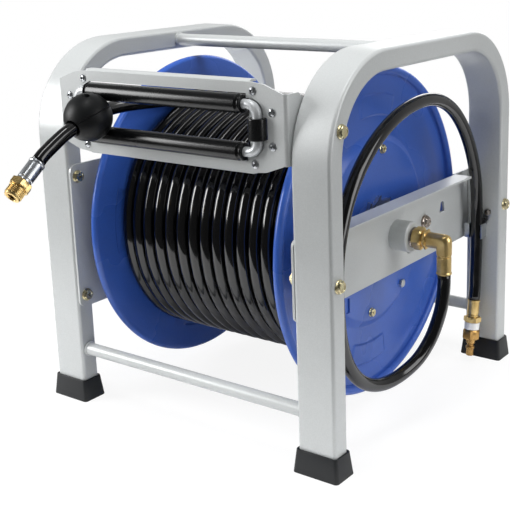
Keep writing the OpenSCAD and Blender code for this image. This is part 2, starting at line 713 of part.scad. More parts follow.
// Ratchet wheel on the right disc's middle
ratchet_x = disc_right + hub_face;
ratchet_t = 5;
ratchet_tip = 46;
ratchet_root = 39.5;
ratchet_teeth = 12;
tooth = 360 / ratchet_teeth;
notch_end = 25;          // steep face just beyond the pawl's nose, from +Y towards +Z
function ratchet_point(i, share, r) = let (a = notch_end - tooth * (i + share)) r * [cos(a), sin(a)];
module ratchet_wheel() color(steel) side_view(ratchet_x, ratchet_t) translate([0, axis_z]) difference() {
    polygon([for (i = [0:ratchet_teeth - 1]) each [
        ratchet_point(i, 0, ratchet_tip), ratchet_point(i, 0.02, ratchet_root),
        ratchet_point(i, 0.42, ratchet_root), ratchet_point(i, 0.94, ratchet_tip)
    ]]);
    circle(r = bush_flange_r + 1);
}

module swivel_body() color(brass) difference() {
    union() {
        on_axle(swivel_x - swivel_len / 2) polygon([
            [shaft_r + run, 0], [swivel_r, 0], [swivel_r, swivel_len], [shaft_r + run, swivel_len],
            [shaft_r + run, swivel_len - 8], [shaft_r + 3, swivel_len - 8], [shaft_r + 3, swivel_len - 12],
            [shaft_r + run, swivel_len - 12], [shaft_r + run, swivel_len / 2 + 7],
            [shaft_r + 3, swivel_len / 2 + 7], [shaft_r + 3, swivel_len / 2 - 7],
            [shaft_r + run, swivel_len / 2 - 7], [shaft_r + run, 12], [shaft_r + 3, 12], [shaft_r + 3, 8],
            [shaft_r + run, 8]
        ]);
        round_axle([hose_hole_a], 0, swivel_x) rotate([-90, 0, 0])
            translate([0, 0, swivel_r - 4]) cylinder(h = spigot_end - swivel_r + 4, r = hose_r);
    }
    round_axle([hose_hole_a], 0, swivel_x) rotate([-90, 0, 0]) translate([0, 0, 14]) cylinder(h = 30, r = 4.5);
}
module swivel_seals() color(rubber) for (s = [8, swivel_len - 12])
    on_axle(swivel_x - swivel_len / 2 + s) translate([shaft_r + run, 0]) square([3 - run, 4]);
module inner_hose() color(rubber) round_axle([hose_hole_a], 0, swivel_x) rotate([-90, 0, 0])
    translate([0, 0, spigot_end]) difference() {
        cylinder(h = sqrt(core_r * core_r - hose_r * hose_r) - spigot_end, r = hose_r);
        translate([0, 0, -1]) cylinder(h = core_r, r = 5);
    }

// ---------- winding ----------

lead_in = 0.1;           // extra share of a turn at the start
all_turns = wind_turns + lead_in;
start_angle = 90 - 360 * all_turns;
// Whole pitches the hose lies from its last turn, u turns before its end: it keeps to a circle and
// steps over to the next one between the top and the front
function turn_step(u) = u >= wind_turns ? wind_turns : floor(u) + max(0, min(1, (u - floor(u) - 0.75) / 0.2));
function wind_point(t) = let (a = start_angle + 360 * t)
    [wind_last + wind_pitch * turn_step(all_turns - t), wind_r * cos(a), axis_z + wind_r * sin(a)];
function wind_tangent(a) = [0, -sin(a), cos(a)];
wind_count = round(rings_per_turn * all_turns);
wind_route = concat(
    [wind_point(0) - hose_d * wind_tangent(start_angle)],
    [for (i = [0:wind_count]) wind_point(i * all_turns / wind_count)],
    [wind_point(all_turns) + hose_d * wind_tangent(90)]
);
wind_sides = 6;

// Least distance between the rings of neighbouring turns
wind_rings = [for (i = [0:len(wind_route) - 1]) tube_ring(wind_route, i, hose_r, wind_sides)];
wind_gap = min([for (i = [1:len(wind_route) - rings_per_turn - 2], j = [-1:1], a = wind_rings[i],
    b = wind_rings[i + rings_per_turn + j]) norm(a - b)]);
echo(least_gap_between_turns = wind_gap);

module hose_winding() color(rubber) tube(wind_route, hose_r, wind_sides);

// Inner layers as a plain ring, with the stretch of hose that climbs from them to the outer layer
climb_r = 60;
module hose_layers() color(rubber) {
    on_axle(disc_left + gap) translate([core_r, 0]) square([bulk_r - core_r, drum_w - 2 * gap]);
    translate([wind_first, 0, axis_z]) rotate([start_angle, 0, 0])
        translate([0, wind_r - climb_r, -hose_d]) rotate([90, 0, 90]) mirror([0, 1, 0])
            rotate_extrude(angle = 64) translate([climb_r, 0]) circle(r = hose_r, $fn = 40);
}

// ---------- latch ----------

pawl_t = 4;
pawl_x = ratchet_x + 0.6;
pawl_len = 34;
pawl_swing = 34.5;        // angle at the pivot between the axle and the nose, at rest
pawl_tail = 16;
pawl_tail_a = -40;
module pawl() color(steel) side_view(pawl_x, pawl_t) translate([pawl_arm, axis_z]) difference() {
    union() {
        circle(r = 9);
        rotate(180 - pawl_swing) polygon([
            [0, -8], [pawl_len - 4, -5], [pawl_len - 0.5, -4], [pawl_len, 0], [0, 8]
        ]);
        rotate(pawl_tail_a) translate([4, -4]) square([pawl_tail, 8]);
    }
    circle(r = bolt_d / 2 + run);
}
module pawl_bolt() color(zinc) translate([0, pawl_arm, axis_z]) {
    translate([x_in, 0, 0]) {
        rod_x(0, 1.5, 9);
        translate([1.5, 0, 0]) flange_head(bolt_d);
    }
    rod_x(pawl_x - 0.3, x_in, bolt_d / 2);
}
module pawl_spacer() color(steel) translate([0, pawl_arm, axis_z]) difference() {
    rod_x(pawl_x + pawl_t + gap, web_x, 8);
    rod_x(pawl_x, web_x + 1, bolt_d / 2);
}
// Leaf spring on the side plate's inner face, with its blade under the pawl's tail
leaf_t = 1;
leaf_y = -4 - gap - leaf_t;
module in_tail_frame(x, t) {
    side_view(x, t) translate([pawl_arm, axis_z]) rotate(pawl_tail_a) children();
}
module pawl_spring() color("#7f8a94") {
    in_tail_frame(pawl_x, pawl_t) translate([8, leaf_y]) square([pawl_tail + 1, leaf_t]);
    in_tail_frame(pawl_x, web_x - pawl_x) translate([pawl_tail + 8, leaf_y - 7]) square([leaf_t, 7 + leaf_t]);
    in_tail_frame(web_x - leaf_t, leaf_t) translate([pawl_tail + 8, leaf_y - 7]) square([10, 7 + leaf_t]);
}

// ---------- inlet ----------

module inlet_ring() color(steel) on_axle(inlet_x) translate([inlet_thread_r, 0]) square([4.5, ring_t]);
module inlet_nut() color(brass) difference() {
    union() {
        translate([0, 0, axis_z]) rod_x(inlet_x - inlet_thread_len, inlet_x + ring_t, inlet_thread_r);
        side_view(inlet_x + ring_t, nut_len) translate([0, axis_z]) hexagon(25);
        translate([0, 0, axis_z]) rod_x(inlet_x + ring_t + nut_len, elbow_start - 5, 9);
        side_view(elbow_start - 5, 5) translate([0, axis_z]) hexagon(22);
    }
    translate([0, 0, axis_z]) rod_x(inlet_x - inlet_thread_len - 1, elbow_start + 1, 5.5);
}
elbow_r = 9;
module inlet_elbow() color(brass) difference() {
    union() {
        translate([0, 0, axis_z]) rod_x(elbow_start, lead_x, elbow_r);
        translate([0, 0, axis_z]) rod_x(elbow_start, elbow_start + 3, elbow_r + 1.2);
        translate([lead_x, 0, axis_z]) sphere(r = elbow_r, $fn = 48);
        translate([lead_x, 0, sleeve_top]) cylinder(h = axis_z - sleeve_top, r = elbow_r);
    }
    translate([0, 0, axis_z]) rod_x(elbow_start - 1, lead_x, 5.5);
    translate([lead_x, 0, sleeve_top - 1]) cylinder(h = axis_z - sleeve_top + 1, r = 5.5);
}

// Crimp sleeve, its hose end at z = 0 and its fitting end at z = h
module crimp_sleeve(h, r, bore) {
    rotate_extrude() polygon([
        [bore, 0], [r + 0.5, 0], [r + 0.5, 2], [r, 3], [r, h - 4], [r - 0.8, h - 3.4], [r - 0.8, h - 2.6],
        [r, h - 2], [r, h], [bore, h]
    ]);
}
module elbow_sleeve() color(brass) translate([lead_x, 0, lead_top])
    crimp_sleeve(sleeve_top - lead_top, 8.9, 5.5);
module lead_hose() color(rubber) tube(lead_route, lead_r, 10);

leg_face = frame_d / 2 - tube_t;       // front face of the rear legs
clip_x = x_in + 20.5;
clip_front = leg_face - 16;
clip_z = 177;
clip_h = 20;
clip_t = 1.2;
clip_lip = 7;
clip_half = lead_r + 0.35;             // from the hose's middle to the inner face of an arm
clip_screw_r = 2.5;
// Frame on the leg's front face, at the clip's screw, with +Z away from the leg
module at_clip_screw() {
    translate([clip_x + 12, leg_face, clip_z + clip_h + 15]) rotate([90, 0, 0]) children();
}
module hose_clip() color(steel) {
    translate([clip_x, 0, clip_z]) linear_extrude(clip_h) {
        for (m = [0, 1]) mirror([m, 0]) translate([clip_half, clip_front])
            square([clip_t, leg_face - clip_front]);
        translate([-clip_half - clip_lip, clip_front]) square([clip_lip, clip_t]);
        translate([-clip_half, leg_face - clip_t]) square([2 * clip_half, clip_t]);
    }
    difference() {
        translate([clip_x, leg_face, clip_z + clip_h]) rotate([90, 0, 0]) linear_extrude(clip_t) {
            polygon([
                [0, -clip_h / 2], [clip_half + clip_t, -clip_h / 2], [clip_half + clip_t, -3],
                [17, 13], [7, 16], [0, -1]
            ]);
            translate([12, 15]) circle(r = 5.2);
        }
        at_clip_screw() translate([0, 0, -1]) cylinder(h = 4, r = clip_screw_r + 0.1);
    }
}
module clip_screw() color(zinc) at_clip_screw() {
    translate([0, 0, clip_t]) cylinder(h = 2, r = 4.2);
    translate([0, 0, -tube_wall - 3]) cylinder(h = tube_wall + 3 + clip_t, r = clip_screw_r);
}

// Pieces on the free end of the lead hose, one under the other
sleeve_len = 23.5;
adapter_len = 8;
tape_len = 10.5;
plug_nut_len = 13.5;
plug_len = 24;
thread_r = 10.45;        // half-inch pipe thread
tape_t = 0.6;
// Frame on the hose's end face, shifted along the pieces' common axis, with +Z away from the hose
module on_lead(z) {
    translate(lead_end) rotate([180 - lead_lean, 0, 0]) translate([0, 0, z]) children();
}
module lead_sleeve() color(brass) on_lead(0) crimp_sleeve(sleeve_len, 8, 5);
module lead_adapter() color(brass) on_lead(sleeve_len) {
    linear_extrude(adapter_len) hexagon(21);
    cylinder(h = adapter_len + tape_len, r = thread_r - tape_t);
}
module thread_tape() color("#f2f2f0") on_lead(sleeve_len + adapter_len)
    rotate_extrude() translate([thread_r - tape_t, 0]) square([tape_t, tape_len]);
module quick_plug() color(brass) on_lead(sleeve_len + adapter_len + tape_len) difference() {
    union() {
        linear_extrude(plug_nut_len) rotate(30) hexagon(22);
        translate([0, 0, plug_nut_len]) rotate_extrude() polygon([
            [0, 0], [6.5, 0], [6.5, 6], [4.6, 7.5], [4.6, 9.5], [6.2, 11], [6.2, 13], [5.4, 14.5],
            [5.4, plug_len - 1], [4.6, plug_len], [0, plug_len]
        ]);
    }
    translate([0, 0, plug_nut_len + 4]) cylinder(h = plug_len, r = 2.8);
}

// ---------- outlet ----------

module hose_tail() color(rubber) tube(tail_route, hose_r, 10);
module hose_end() color(rubber) tube(end_route, hose_r, 10);

// Stopper: two halves with a curved bore between them, seam rolled about the hose
seam_roll = -22;
module stopper_ball() color("#202022") translate(bore_middle) rotate([ball_tilt, 0, 0]) for (s = [-1, 1])
    difference() {
        sphere(r = ball_r, $fn = 96);
        rotate([0, seam_roll, 0]) translate([-ball_r, -ball_r, s > 0 ? -2 * ball_r : -0.2])
            cube(2 * ball_r + 0.2);
        translate([0, 0, -bore_bend]) rotate([0, -90, 0]) rotate([0, 0, -12]) rotate_extrude(angle = 24, $fn = 120)
            translate([bore_bend, 0]) circle(r = hose_r + 0.15, $fn = 48);
    }

module outlet_fitting() translate(end_point) rotate([90 + out_tilt, 0, 0]) {
    color(steel) crimp_sleeve(28, 9.2, 5);
    color(brass) translate([0, 0, 28]) difference() {
        union() {
            linear_extrude(9) hexagon(23);
            cylinder(h = 22, r = 10.4);
        }
        translate([0, 0, -1]) cylinder(h = 30, r = 5);
    }
}

left_frame();
right_frame();
rubber_feet();
top_crossbar();
front_crossbar();
rear_crossbar();
left_side_plate();
right_side_plate();
bearing_boss();
boss_set_screw();
axle_shaft();
axle_washer();
axle_nut();
axle_spacers();
spring_arbor();
frame_bolts();
frame_nuts();
guide_plate();
guide_cage_plates();
guide_screws();
guide_nuts();
roller_rod();
top_roller();
bottom_roller();
left_roller();
right_roller();
left_disc();
right_disc();
drum_core();
disc_bolts();
disc_nuts();
clamp_screw();
drum_bushes();
spring_case();
main_spring();
ratchet_wheel();
swivel_body();
swivel_seals();
inner_hose();
hose_layers();
hose_winding();
pawl();
pawl_bolt();
pawl_spacer();
pawl_spring();
inlet_ring();
inlet_nut();
inlet_elbow();
elbow_sleeve();
lead_hose();
hose_clip();
clip_screw();
lead_sleeve();
lead_adapter();
thread_tape();
quick_plug();
hose_tail();
stopper_ball();
hose_end();
outlet_fitting();
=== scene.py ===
import bpy
import bmesh
import json
import math
from mathutils import Matrix, Vector


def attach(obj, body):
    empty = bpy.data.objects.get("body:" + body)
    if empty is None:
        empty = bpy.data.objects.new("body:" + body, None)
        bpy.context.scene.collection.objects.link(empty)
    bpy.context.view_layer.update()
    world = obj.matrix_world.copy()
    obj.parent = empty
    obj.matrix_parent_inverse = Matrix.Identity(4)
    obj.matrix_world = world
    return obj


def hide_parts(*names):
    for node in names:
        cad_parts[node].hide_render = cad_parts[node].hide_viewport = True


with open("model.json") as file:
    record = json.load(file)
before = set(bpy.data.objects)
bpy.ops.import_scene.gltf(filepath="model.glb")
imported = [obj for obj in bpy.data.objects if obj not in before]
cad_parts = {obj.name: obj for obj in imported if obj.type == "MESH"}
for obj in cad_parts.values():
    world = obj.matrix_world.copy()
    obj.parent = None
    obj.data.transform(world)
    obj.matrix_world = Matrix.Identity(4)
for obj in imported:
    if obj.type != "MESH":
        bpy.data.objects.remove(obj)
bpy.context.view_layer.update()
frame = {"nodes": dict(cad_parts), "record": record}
nodes = frame["nodes"]
print("frame loaded:", len(nodes), "nodes")


def addObject(name, data):
    obj = bpy.data.objects.new(name, data)
    bpy.context.scene.collection.objects.link(obj)
    return obj


cameraValues = {
    "place": (0.800828, -1.071247, 0.577644),       # metres
    "turnDegrees": (76.296, 1.5231, 35.7316),
    "lensMm": 73.187,
    "sensorMm": 36.0,
    "shift": (-0.08, -0.117),       # shares of the frame's width
    "clipEnd": 50.0,
}


def makeCamera():
    data = bpy.data.cameras.new("camera")
    data.lens = cameraValues["lensMm"]
    data.sensor_width = cameraValues["sensorMm"]
    data.sensor_fit = "HORIZONTAL"
    data.shift_x, data.shift_y = cameraValues["shift"]
    data.clip_end = cameraValues["clipEnd"]
    obj = addObject("camera", data)
    obj.location = cameraValues["place"]
    obj.rotation_euler = [math.radians(a) for a in cameraValues["turnDegrees"]]
    bpy.context.scene.camera = obj


makeCamera()
print("camera done")

# Tools that all pieces share. Profiles and places are in mm.
mmToM = 0.001
weldMm = 1e-4           # points nearer than this are one
carveWeldMm = 0.002     # the same, after a cut
filletSteps = 4
filletShare = 0.48      # the most that a fillet takes of the side it runs into
hexFace = 0.475         # radius of a hexagon's chamfered end, in widths across its flats


def toLinear(hexColour):
    channels = [int(hexColour[i:i + 2], 16) / 255 for i in (1, 3, 5)]
    return tuple(c / 12.92 if c <= 0.04045 else ((c + 0.055) / 1.055) ** 2.4 for c in channels) + (1.0,)


def addNode(tree, kind, links=None, **settings):
    node = tree.nodes.new(kind)
    for name, value in settings.items():
        setattr(node, name, value)
    for socket, value in (links or {}).items():
        if isinstance(value, bpy.types.NodeSocket):
            tree.links.new(value, node.inputs[socket])
        else:
            node.inputs[socket].default_value = value
    return node


def meshFromBm(name, bm, sharpDegrees=32):
    limit = math.radians(sharpDegrees)
    for face in bm.faces:
        face.smooth = True
    for edge in bm.edges:
        edge.smooth = len(edge.link_faces) == 2 and edge.calc_face_angle(0) < limit
    data = bpy.data.meshes.new(name)
    bm.to_mesh(data)
    bm.free()
    return data


def addPiece(name, bm, material, body, replaced=(), sharpDegrees=32):
    obj = addObject(name, meshFromBm(name, bm, sharpDegrees))
    obj.data.materials.append(material)
    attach(obj, body)
    if replaced:
        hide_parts(*replaced)
    return obj


def placing(place, direction=(0, 0, 1), roll=0.0):
    turn = Vector((0, 0, 1)).rotation_difference(Vector(direction)).to_matrix().to_4x4()
    spin = Matrix.Rotation(math.radians(roll), 4, "Z")
    return Matrix.Translation(Vector(place) * mmToM) @ turn @ spin @ Matrix.Scale(mmToM, 4)


# A tube along a path in metres, with its own UV map: millimetres along, share of a turn round
def tubeMesh(path, radius, sides):
    bm = bmesh.new()
    uvLayer = bm.loops.layers.uv.new("hoseUv")
    angles = [2 * math.pi * k / sides for k in range(sides)]
    rings, along = [], [0.0]
    side = None
    for i, point in enumerate(path):
        ahead = (path[min(i + 1, len(path) - 1)] - path[max(i - 1, 0)]).normalized()
        if side is None:
            side = ahead.orthogonal().normalized()
        side = (side - ahead * side.dot(ahead)).normalized()
        up = ahead.cross(side)
        if i:
            along.append(along[-1] + (point - path[i - 1]).length / mmToM)
        outwards = [side * math.cos(a) + up * math.sin(a) for a in angles]
        rings.append([bm.verts.new(point + radius * out) for out in outwards])
    for i in range(len(rings) - 1):
        for k in range(sides):
            corners = ((i, k), (i, k + 1), (i + 1, k + 1), (i + 1, k))
            face = bm.faces.new([rings[a][b % sides] for a, b in corners])
            for loop, (a, b) in zip(face.loops, corners):
                loop[uvLayer].uv = (along[a], b / sides)
    bm.faces.new(rings[0][::-1])
    bm.faces.new(rings[-1])
    return bm


# Smooth path in metres through route points in mm, with a point about every step
def smoothPath(points, step):
    points = [Vector(p) for p in points]
    ends = [2 * points[0] - points[1]] + points + [2 * points[-1] - points[-2]]
    path = []
    for i in range(1, len(ends) - 2):
        a, b, c, d = ends[i - 1:i + 3]
        count = max(1, round((c - b).length / step))
        for j in range(count):
            t = j / count
            curve = 2 * b + (c - a) * t + (2 * a - 5 * b + 4 * c - d) * t * t
            path.append(0.5 * (curve + (3 * b - a - 3 * c + d) * t ** 3))
    path.append(points[-1])
    return [p * mmToM for p in path]


# Points of a profile of (radius, height, fillet). A row without a fillet stays sharp.
def rounded(profile, closed):
    points = []
    count = len(profile)
    for i, row in enumerate(profile):
        r, h, fillet = (*row, 0)[:3]
        here = Vector((r, h))
        before = Vector(profile[i - 1][:2]) - here
        after = Vector(profile[(i + 1) % count][:2]) - here
        atEnd = not closed and i in (0, count - 1)
        if fillet <= 0 or atEnd or min(before.length, after.length) < weldMm:
            points.append(here)
            continue
        reach = min(fillet / math.tan(before.angle(after) / 2),
                    filletShare * before.length, filletShare * after.length)
        start, end = here + before.normalized() * reach, here + after.normalized() * reach
        for k in range(filletSteps + 1):
            t = k / filletSteps
            points.append((1 - t) ** 2 * start + 2 * t * (1 - t) * here + t * t * end)
    return points


# The same rows, higher up
def raised(rows, height):
    return [(row[0], height + row[1], *row[2:]) for row in rows]


# A profile spun round +Z. An open one starts and ends on the axis.
def turned(profile, steps=96, closed=False):
    bm = bmesh.new()
    verts = [bm.verts.new((p.x, 0, p.y)) for p in rounded(profile, closed)]
    pairs = list(zip(verts, verts[1:])) + ([(verts[-1], verts[0])] if closed else [])
    edges = [bm.edges.new(pair) for pair in pairs]
    bmesh.ops.spin(bm, geom=verts + edges, cent=(0, 0, 0), axis=(0, 0, 1), dvec=(0, 0, 0),
                   angle=2 * math.pi, steps=steps, use_merge=True, use_duplicate=False)
    bmesh.ops.remove_doubles(bm, verts=bm.verts, dist=weldMm)
    bmesh.ops.recalc_face_normals(bm, faces=bm.faces)
    return bm


# Flats on a turned piece: what stands out past them is pressed in to them
def pressFlats(bm, low, high, acrossFlats, sides):
    share = 2 * math.pi / sides
    for vert in bm.verts:
        if low <= vert.co.z <= high:
            radius = math.hypot(vert.co.x, vert.co.y)
            angle = (math.atan2(vert.co.y, vert.co.x) + share / 2) % share - share / 2
            reach = acrossFlats / 2 / math.cos(angle)
            if radius > reach:
                vert.co.xy = vert.co.xy * (reach / radius)


# A closed turned profile laid on an axis, with flats as rows of (low, high, across, sides)
def turnedPart(profile, place, direction=(0, 0, 1), flats=(), roll=0.0):
    bm = turned(profile, closed=True)
    for row in flats:
        pressFlats(bm, *row)
    bmesh.ops.transform(bm, matrix=placing(place, direction, roll), verts=bm.verts)
    return bm


# Rows of a hexagon's profile with a chamfer at each end
def hexRows(acrossFlats, low, high, chamfer=(0.9, 0.9)):
    corner, face = acrossFlats / math.sqrt(3), hexFace * acrossFlats
    rows = [(face, low), (corner, low + chamfer[0])] if chamfer[0] else [(corner, low)]
    return rows + ([(corner, high - chamfer[1]), (face, high)] if chamfer[1] else [(corner, high)])


# Cut one mesh out of a piece, and keep the result as its mesh
def carve(obj, cutter):
    tool = addObject("cutter", meshFromBm("cutter", cutter))
    cut = obj.modifiers.new("cut", "BOOLEAN")
    cut.operation, cut.solver, cut.object = "DIFFERENCE", "EXACT", tool
    bpy.context.view_layer.update()
    solid = obj.evaluated_get(bpy.context.evaluated_depsgraph_get())
    bm = bmesh.new()
    bm.from_mesh(solid.to_mesh())
    solid.to_mesh_clear()
    obj.modifiers.clear()
    bpy.data.objects.remove(tool)
    bmesh.ops.remove_doubles(bm, verts=bm.verts, dist=carveWeldMm * mmToM)
    old = obj.data
    obj.data = meshFromBm(obj.name, bm)
    obj.data.materials.append(old.materials[0])


def join(target, other, matrix):
    bmesh.ops.transform(other, matrix=matrix, verts=other.verts)
    data = bpy.data.meshes.new("part")
    other.to_mesh(data)
    other.free()
    target.from_mesh(data)
    bpy.data.meshes.remove(data)


def startMaterial(name):
    material = bpy.data.materials.new(name)
    material.use_nodes = True
    tree = material.node_tree
    tree.nodes.clear()
    shader = addNode(tree, "ShaderNodeBsdfPrincipled")
    addNode(tree, "ShaderNodeOutputMaterial", {"Surface": shader.outputs[0]})
    place = addNode(tree, "ShaderNodeTexCoord")
    return material, tree, shader, place.outputs["Object"]


# A noise whose features are about sizeMm wide
def addNoise(tree, place, sizeMm, detail, roughness=0.5):
    inputs = {"Vector": place, "Scale": 1000.0 / sizeMm / 2, "Detail": detail, "Roughness": roughness}
    return addNode(tree, "ShaderNodeTexNoise", inputs).outputs["Fac"]


# A value carried over from one span to another
def addRange(tree, value, span=(0.0, 1.0), reached=(0.0, 1.0)):
    inputs = {"Value": value, "From Min": span[0], "From Max": span[1],
              "To Min": reached[0], "To Max": reached[1]}
    return addNode(tree, "ShaderNodeMapRange", inputs).outputs[0]


noiseSpan = (0.3, 0.7)      # where most of a noise's values lie


# Roughness that follows a pattern, and a fine relief from another
def addGrain(tree, shader, pattern, span, rough, relief, strength, depthMm):
    tree.links.new(addRange(tree, pattern, span, rough), shader.inputs["Roughness"])
    bump = addNode(tree, "ShaderNodeBump",
                   {"Height": relief, "Strength": strength, "Distance": depthMm * mmToM})
    tree.links.new(bump.outputs[0], shader.inputs["Normal"])


# Two colours in clouds
def addClouds(tree, shader, pattern, span, first, second):
    share = addRange(tree, pattern, span)
    mix = addNode(tree, "ShaderNodeMix", {0: share, 6: toLinear(first), 7: toLinear(second)},
                  data_type="RGBA")
    tree.links.new(mix.outputs[2], shader.inputs["Base Color"])


# One colour, darker and lighter in patches
def addPatches(tree, shader, pattern, span, shades, colour):
    shade = addRange(tree, pattern, span, shades)
    tone = addNode(tree, "ShaderNodeVectorMath", {0: toLinear(colour)[:3], "Scale": shade},
                   operation="SCALE")
    tree.links.new(tone.outputs[0], shader.inputs["Base Color"])


powderCoatValues = {
    "silver": ("#c9cccc", "#bfc2c2"), "blue": ("#3e68c6", "#3a61ba"), "lacquer": ("#d3d6d8", "#c6c9cb"),
    "peelMm": 2.2, "peelDepth": 0.2,        # the orange peel's ripples
    "flakeMm": 0.7,         # metal flake, drawn coarser than real so that it shows
    "cloudMm": 90.0,        # where the film is thicker and thinner
    "cloudSpan": (0.7, 1.3), "rough": (-0.04, 0.05),
}


def powderCoat(name, colours, metallic, rough, peel):
    values = powderCoatValues
    material, tree, shader, place = startMaterial(name)
    flake = addNoise(tree, place, values["flakeMm"], 2.0)
    cloud = addNoise(tree, place, values["cloudMm"], 3.0)
    ripple = addNoise(tree, place, values["peelMm"], 1.0)
    both = addNode(tree, "ShaderNodeMath", {0: flake, 1: cloud}, operation="ADD")
    addClouds(tree, shader, both.outputs[0], values["cloudSpan"], colours[1], colours[0])
    shader.inputs["Metallic"].default_value = metallic
    addGrain(tree, shader, cloud, noiseSpan, [rough + r for r in values["rough"]],
             ripple, peel, values["peelDepth"])
    return material


mouldedValues = {
    "grainMm": 0.5, "grainDepth": 0.1,      # the mould's grain, drawn coarser than real so that it shows
    "scuffMm": 25.0, "scuffRoughness": 0.6,
    "shadeSpan": (0.3, 0.8), "shades": (0.85, 1.3), "rough": (-0.05, 0.08),
}


# Rubber and plastic. uneven is how strongly the scuffs dull it.
def moulded(name, colour, rough, grain, gloss=0.4, uneven=1.0):
    values = mouldedValues
    material, tree, shader, place = startMaterial(name)
    scuff = addNoise(tree, place, values["scuffMm"], 6.0, values["scuffRoughness"])
    fine = addNoise(tree, place, values["grainMm"], 2.0)
    addPatches(tree, shader, scuff, values["shadeSpan"], values["shades"], colour)
    shader.inputs["Specular IOR Level"].default_value = gloss
    addGrain(tree, shader, scuff, noiseSpan, [rough + uneven * r for r in values["rough"]],
             fine, grain, values["grainDepth"])
    return material


hoseRubberValues = {
    "colour": "#040405", "gloss": 0.7, "rough": (0.06, 0.18),
    "drawLines": 46, "lineStrength": 0.05, "lineDepth": 0.1,        # lines along it, left by the die
    "bloomMm": 14.0, "bloomRoughness": 0.65, "bloomSpan": (0.35, 0.75),
    "shadeSpan": (0.4, 0.8), "shades": (0.9, 1.6),
}


def hoseRubber(name):
    values = hoseRubberValues
    material, tree, shader, place = startMaterial(name)
    uv = addNode(tree, "ShaderNodeUVMap", uv_map="hoseUv")
    parts = addNode(tree, "ShaderNodeSeparateXYZ", {"Vector": uv.outputs[0]})
    around = addNode(tree, "ShaderNodeMath", {0: parts.outputs["Y"], 1: 2 * math.pi * values["drawLines"]},
                     operation="MULTIPLY")
    wave = addNode(tree, "ShaderNodeMath", {0: around.outputs[0]}, operation="SINE")
    bloom = addNoise(tree, place, values["bloomMm"], 5.0, values["bloomRoughness"])
    addPatches(tree, shader, bloom, values["shadeSpan"], values["shades"], values["colour"])
    shader.inputs["Specular IOR Level"].default_value = values["gloss"]
    addGrain(tree, shader, bloom, values["bloomSpan"], values["rough"],
             wave.outputs[0], values["lineStrength"], values["lineDepth"])
    return material


metalValues = {
    "toolMm": 0.8, "toolDepth": 0.1,        # tool marks, drawn coarser than real so that they show
    "stainMm": 6.0, "stainSpan": (0.35, 0.68), "rough": (-0.04, 0.07),
}


def metal(name, colour, stain, rough, marks=0.1, stainMm=metalValues["stainMm"]):
    values = metalValues
    material, tree, shader, place = startMaterial(name)
    cloud = addNoise(tree, place, stainMm, 4.0)
    tool = addNoise(tree, place, values["toolMm"], 2.0)
    addClouds(tree, shader, cloud, values["stainSpan"], colour, stain)
    shader.inputs["Metallic"].default_value = 1.0
    addGrain(tree, shader, cloud, noiseSpan, [rough + r for r in values["rough"]],
             tool, marks, values["toolDepth"])
    return material


# powder-coated steel, baked: an even silvery satin with fine flake and faint orange peel
silverPaint = powderCoat("silverPowderCoat", powderCoatValues["silver"], 0.12, 0.36, 0.10)
# powder-coated pressed sheet: a strong even blue, glossy enough for its rims to catch the light
bluePaint = powderCoat("bluePowderCoat", powderCoatValues["blue"], 0.0, 0.27, 0.06)
# lacquered steel rod: pale and half metallic, with one soft streak along it
satinSteel = powderCoat("satinLacquer", powderCoatValues["lacquer"], 0.45, 0.38, 0.05)
# moulded rubber: nearly black, with a broad dull sheen and a fine grain
footRubber = moulded("mouldedFootRubber", "#101316", 0.44, 0.15, 0.42)
# turned acetal: smooth black with clear streaks of light along it
rollerPlastic = moulded("turnedAcetal", "#0b0c0d", 0.26, 0.0, 0.45, 0.3)
# moulded polypropylene: dark grey, with a soft spot of light and a dull grain
ballPlastic = moulded("mouldedPolypropylene", "#131415", 0.42, 0.08, 0.25)
# nitrile rubber: matt black
sealRubber = moulded("nitrileSeal", "#111111", 0.5, 0.1)
# nylon: milky and smooth
bushPlastic = moulded("bearingNylon", "#e6e2d6", 0.45, 0.05)
# wrapped tape: flat white
tapeWhite = moulded("threadTape", "#f2f2f0", 0.5, 0.1)
# extruded rubber: deep glossy black with long bright streaks, and dusty bloom here and there
glossHose = hoseRubber("extrudedHoseRubber")
# turned brass: pale and warm, with soft highlights
brass = metal("turnedBrass", "#ebcf90", "#d2b172", 0.32, 0.04)
# machined brass, unpolished: deeper and redder, with tool marks
machinedBrass = metal("machinedBrass", "#d3ab6c", "#b48a50", 0.26)
# zinc plate, yellow passivated: pale straw with blotches
yellowZinc = metal("yellowZincPlate", "#dcd7ae", "#c2b08c", 0.26, stainMm=3.0)
# zinc plate, clear: bright and slightly blue
brightSteel = metal("zincPlatedSteel", "#c9cccf", "#b3b6ba", 0.28)
# nickel plate: cool, even and bright
nickel = metal("nickelPlate", "#d3d6d9", "#bfc4c9", 0.3, 0.04)
# tarnished nickel: sharp highlights under brownish grey clouds
dullNickel = metal("tarnishedNickel", "#b5aca4", "#85786d", 0.22, stainMm=3.5)
# plain sheet steel: grey satin
coreSteel = metal("plainSheetSteel", "#b5b8ba", "#9ea1a4", 0.38)
# tempered spring steel: dark blue-grey satin
springSteel = metal("temperedSteel", "#7f8a94", "#5d6670", 0.34)

slotFinish = {
    "silver_paint": silverPaint, "blue_paint": bluePaint,
    "foot_rubber": footRubber, "hose_rubber": glossHose, "seal_rubber": sealRubber,
    "roller_plastic": rollerPlastic, "stopper_plastic": ballPlastic, "bush_plastic": bushPlastic,
    "yellow_zinc": yellowZinc, "bright_steel": brightSteel, "core_steel": coreSteel,
    "spring_steel": springSteel, "brass": brass, "white_tape": tapeWhite,
}
for row in frame["record"]["subparts"]:
    for materialSlot in nodes[row["node"]].material_slots:
        materialSlot.material = slotFinish[row["material_slot"]]
for node, finish in (("roller_rod", satinSteel), ("drum_core", bluePaint), ("clip_screw", dullNickel)):
    nodes[node].material_slots[0].material = finish
print("finishes done")

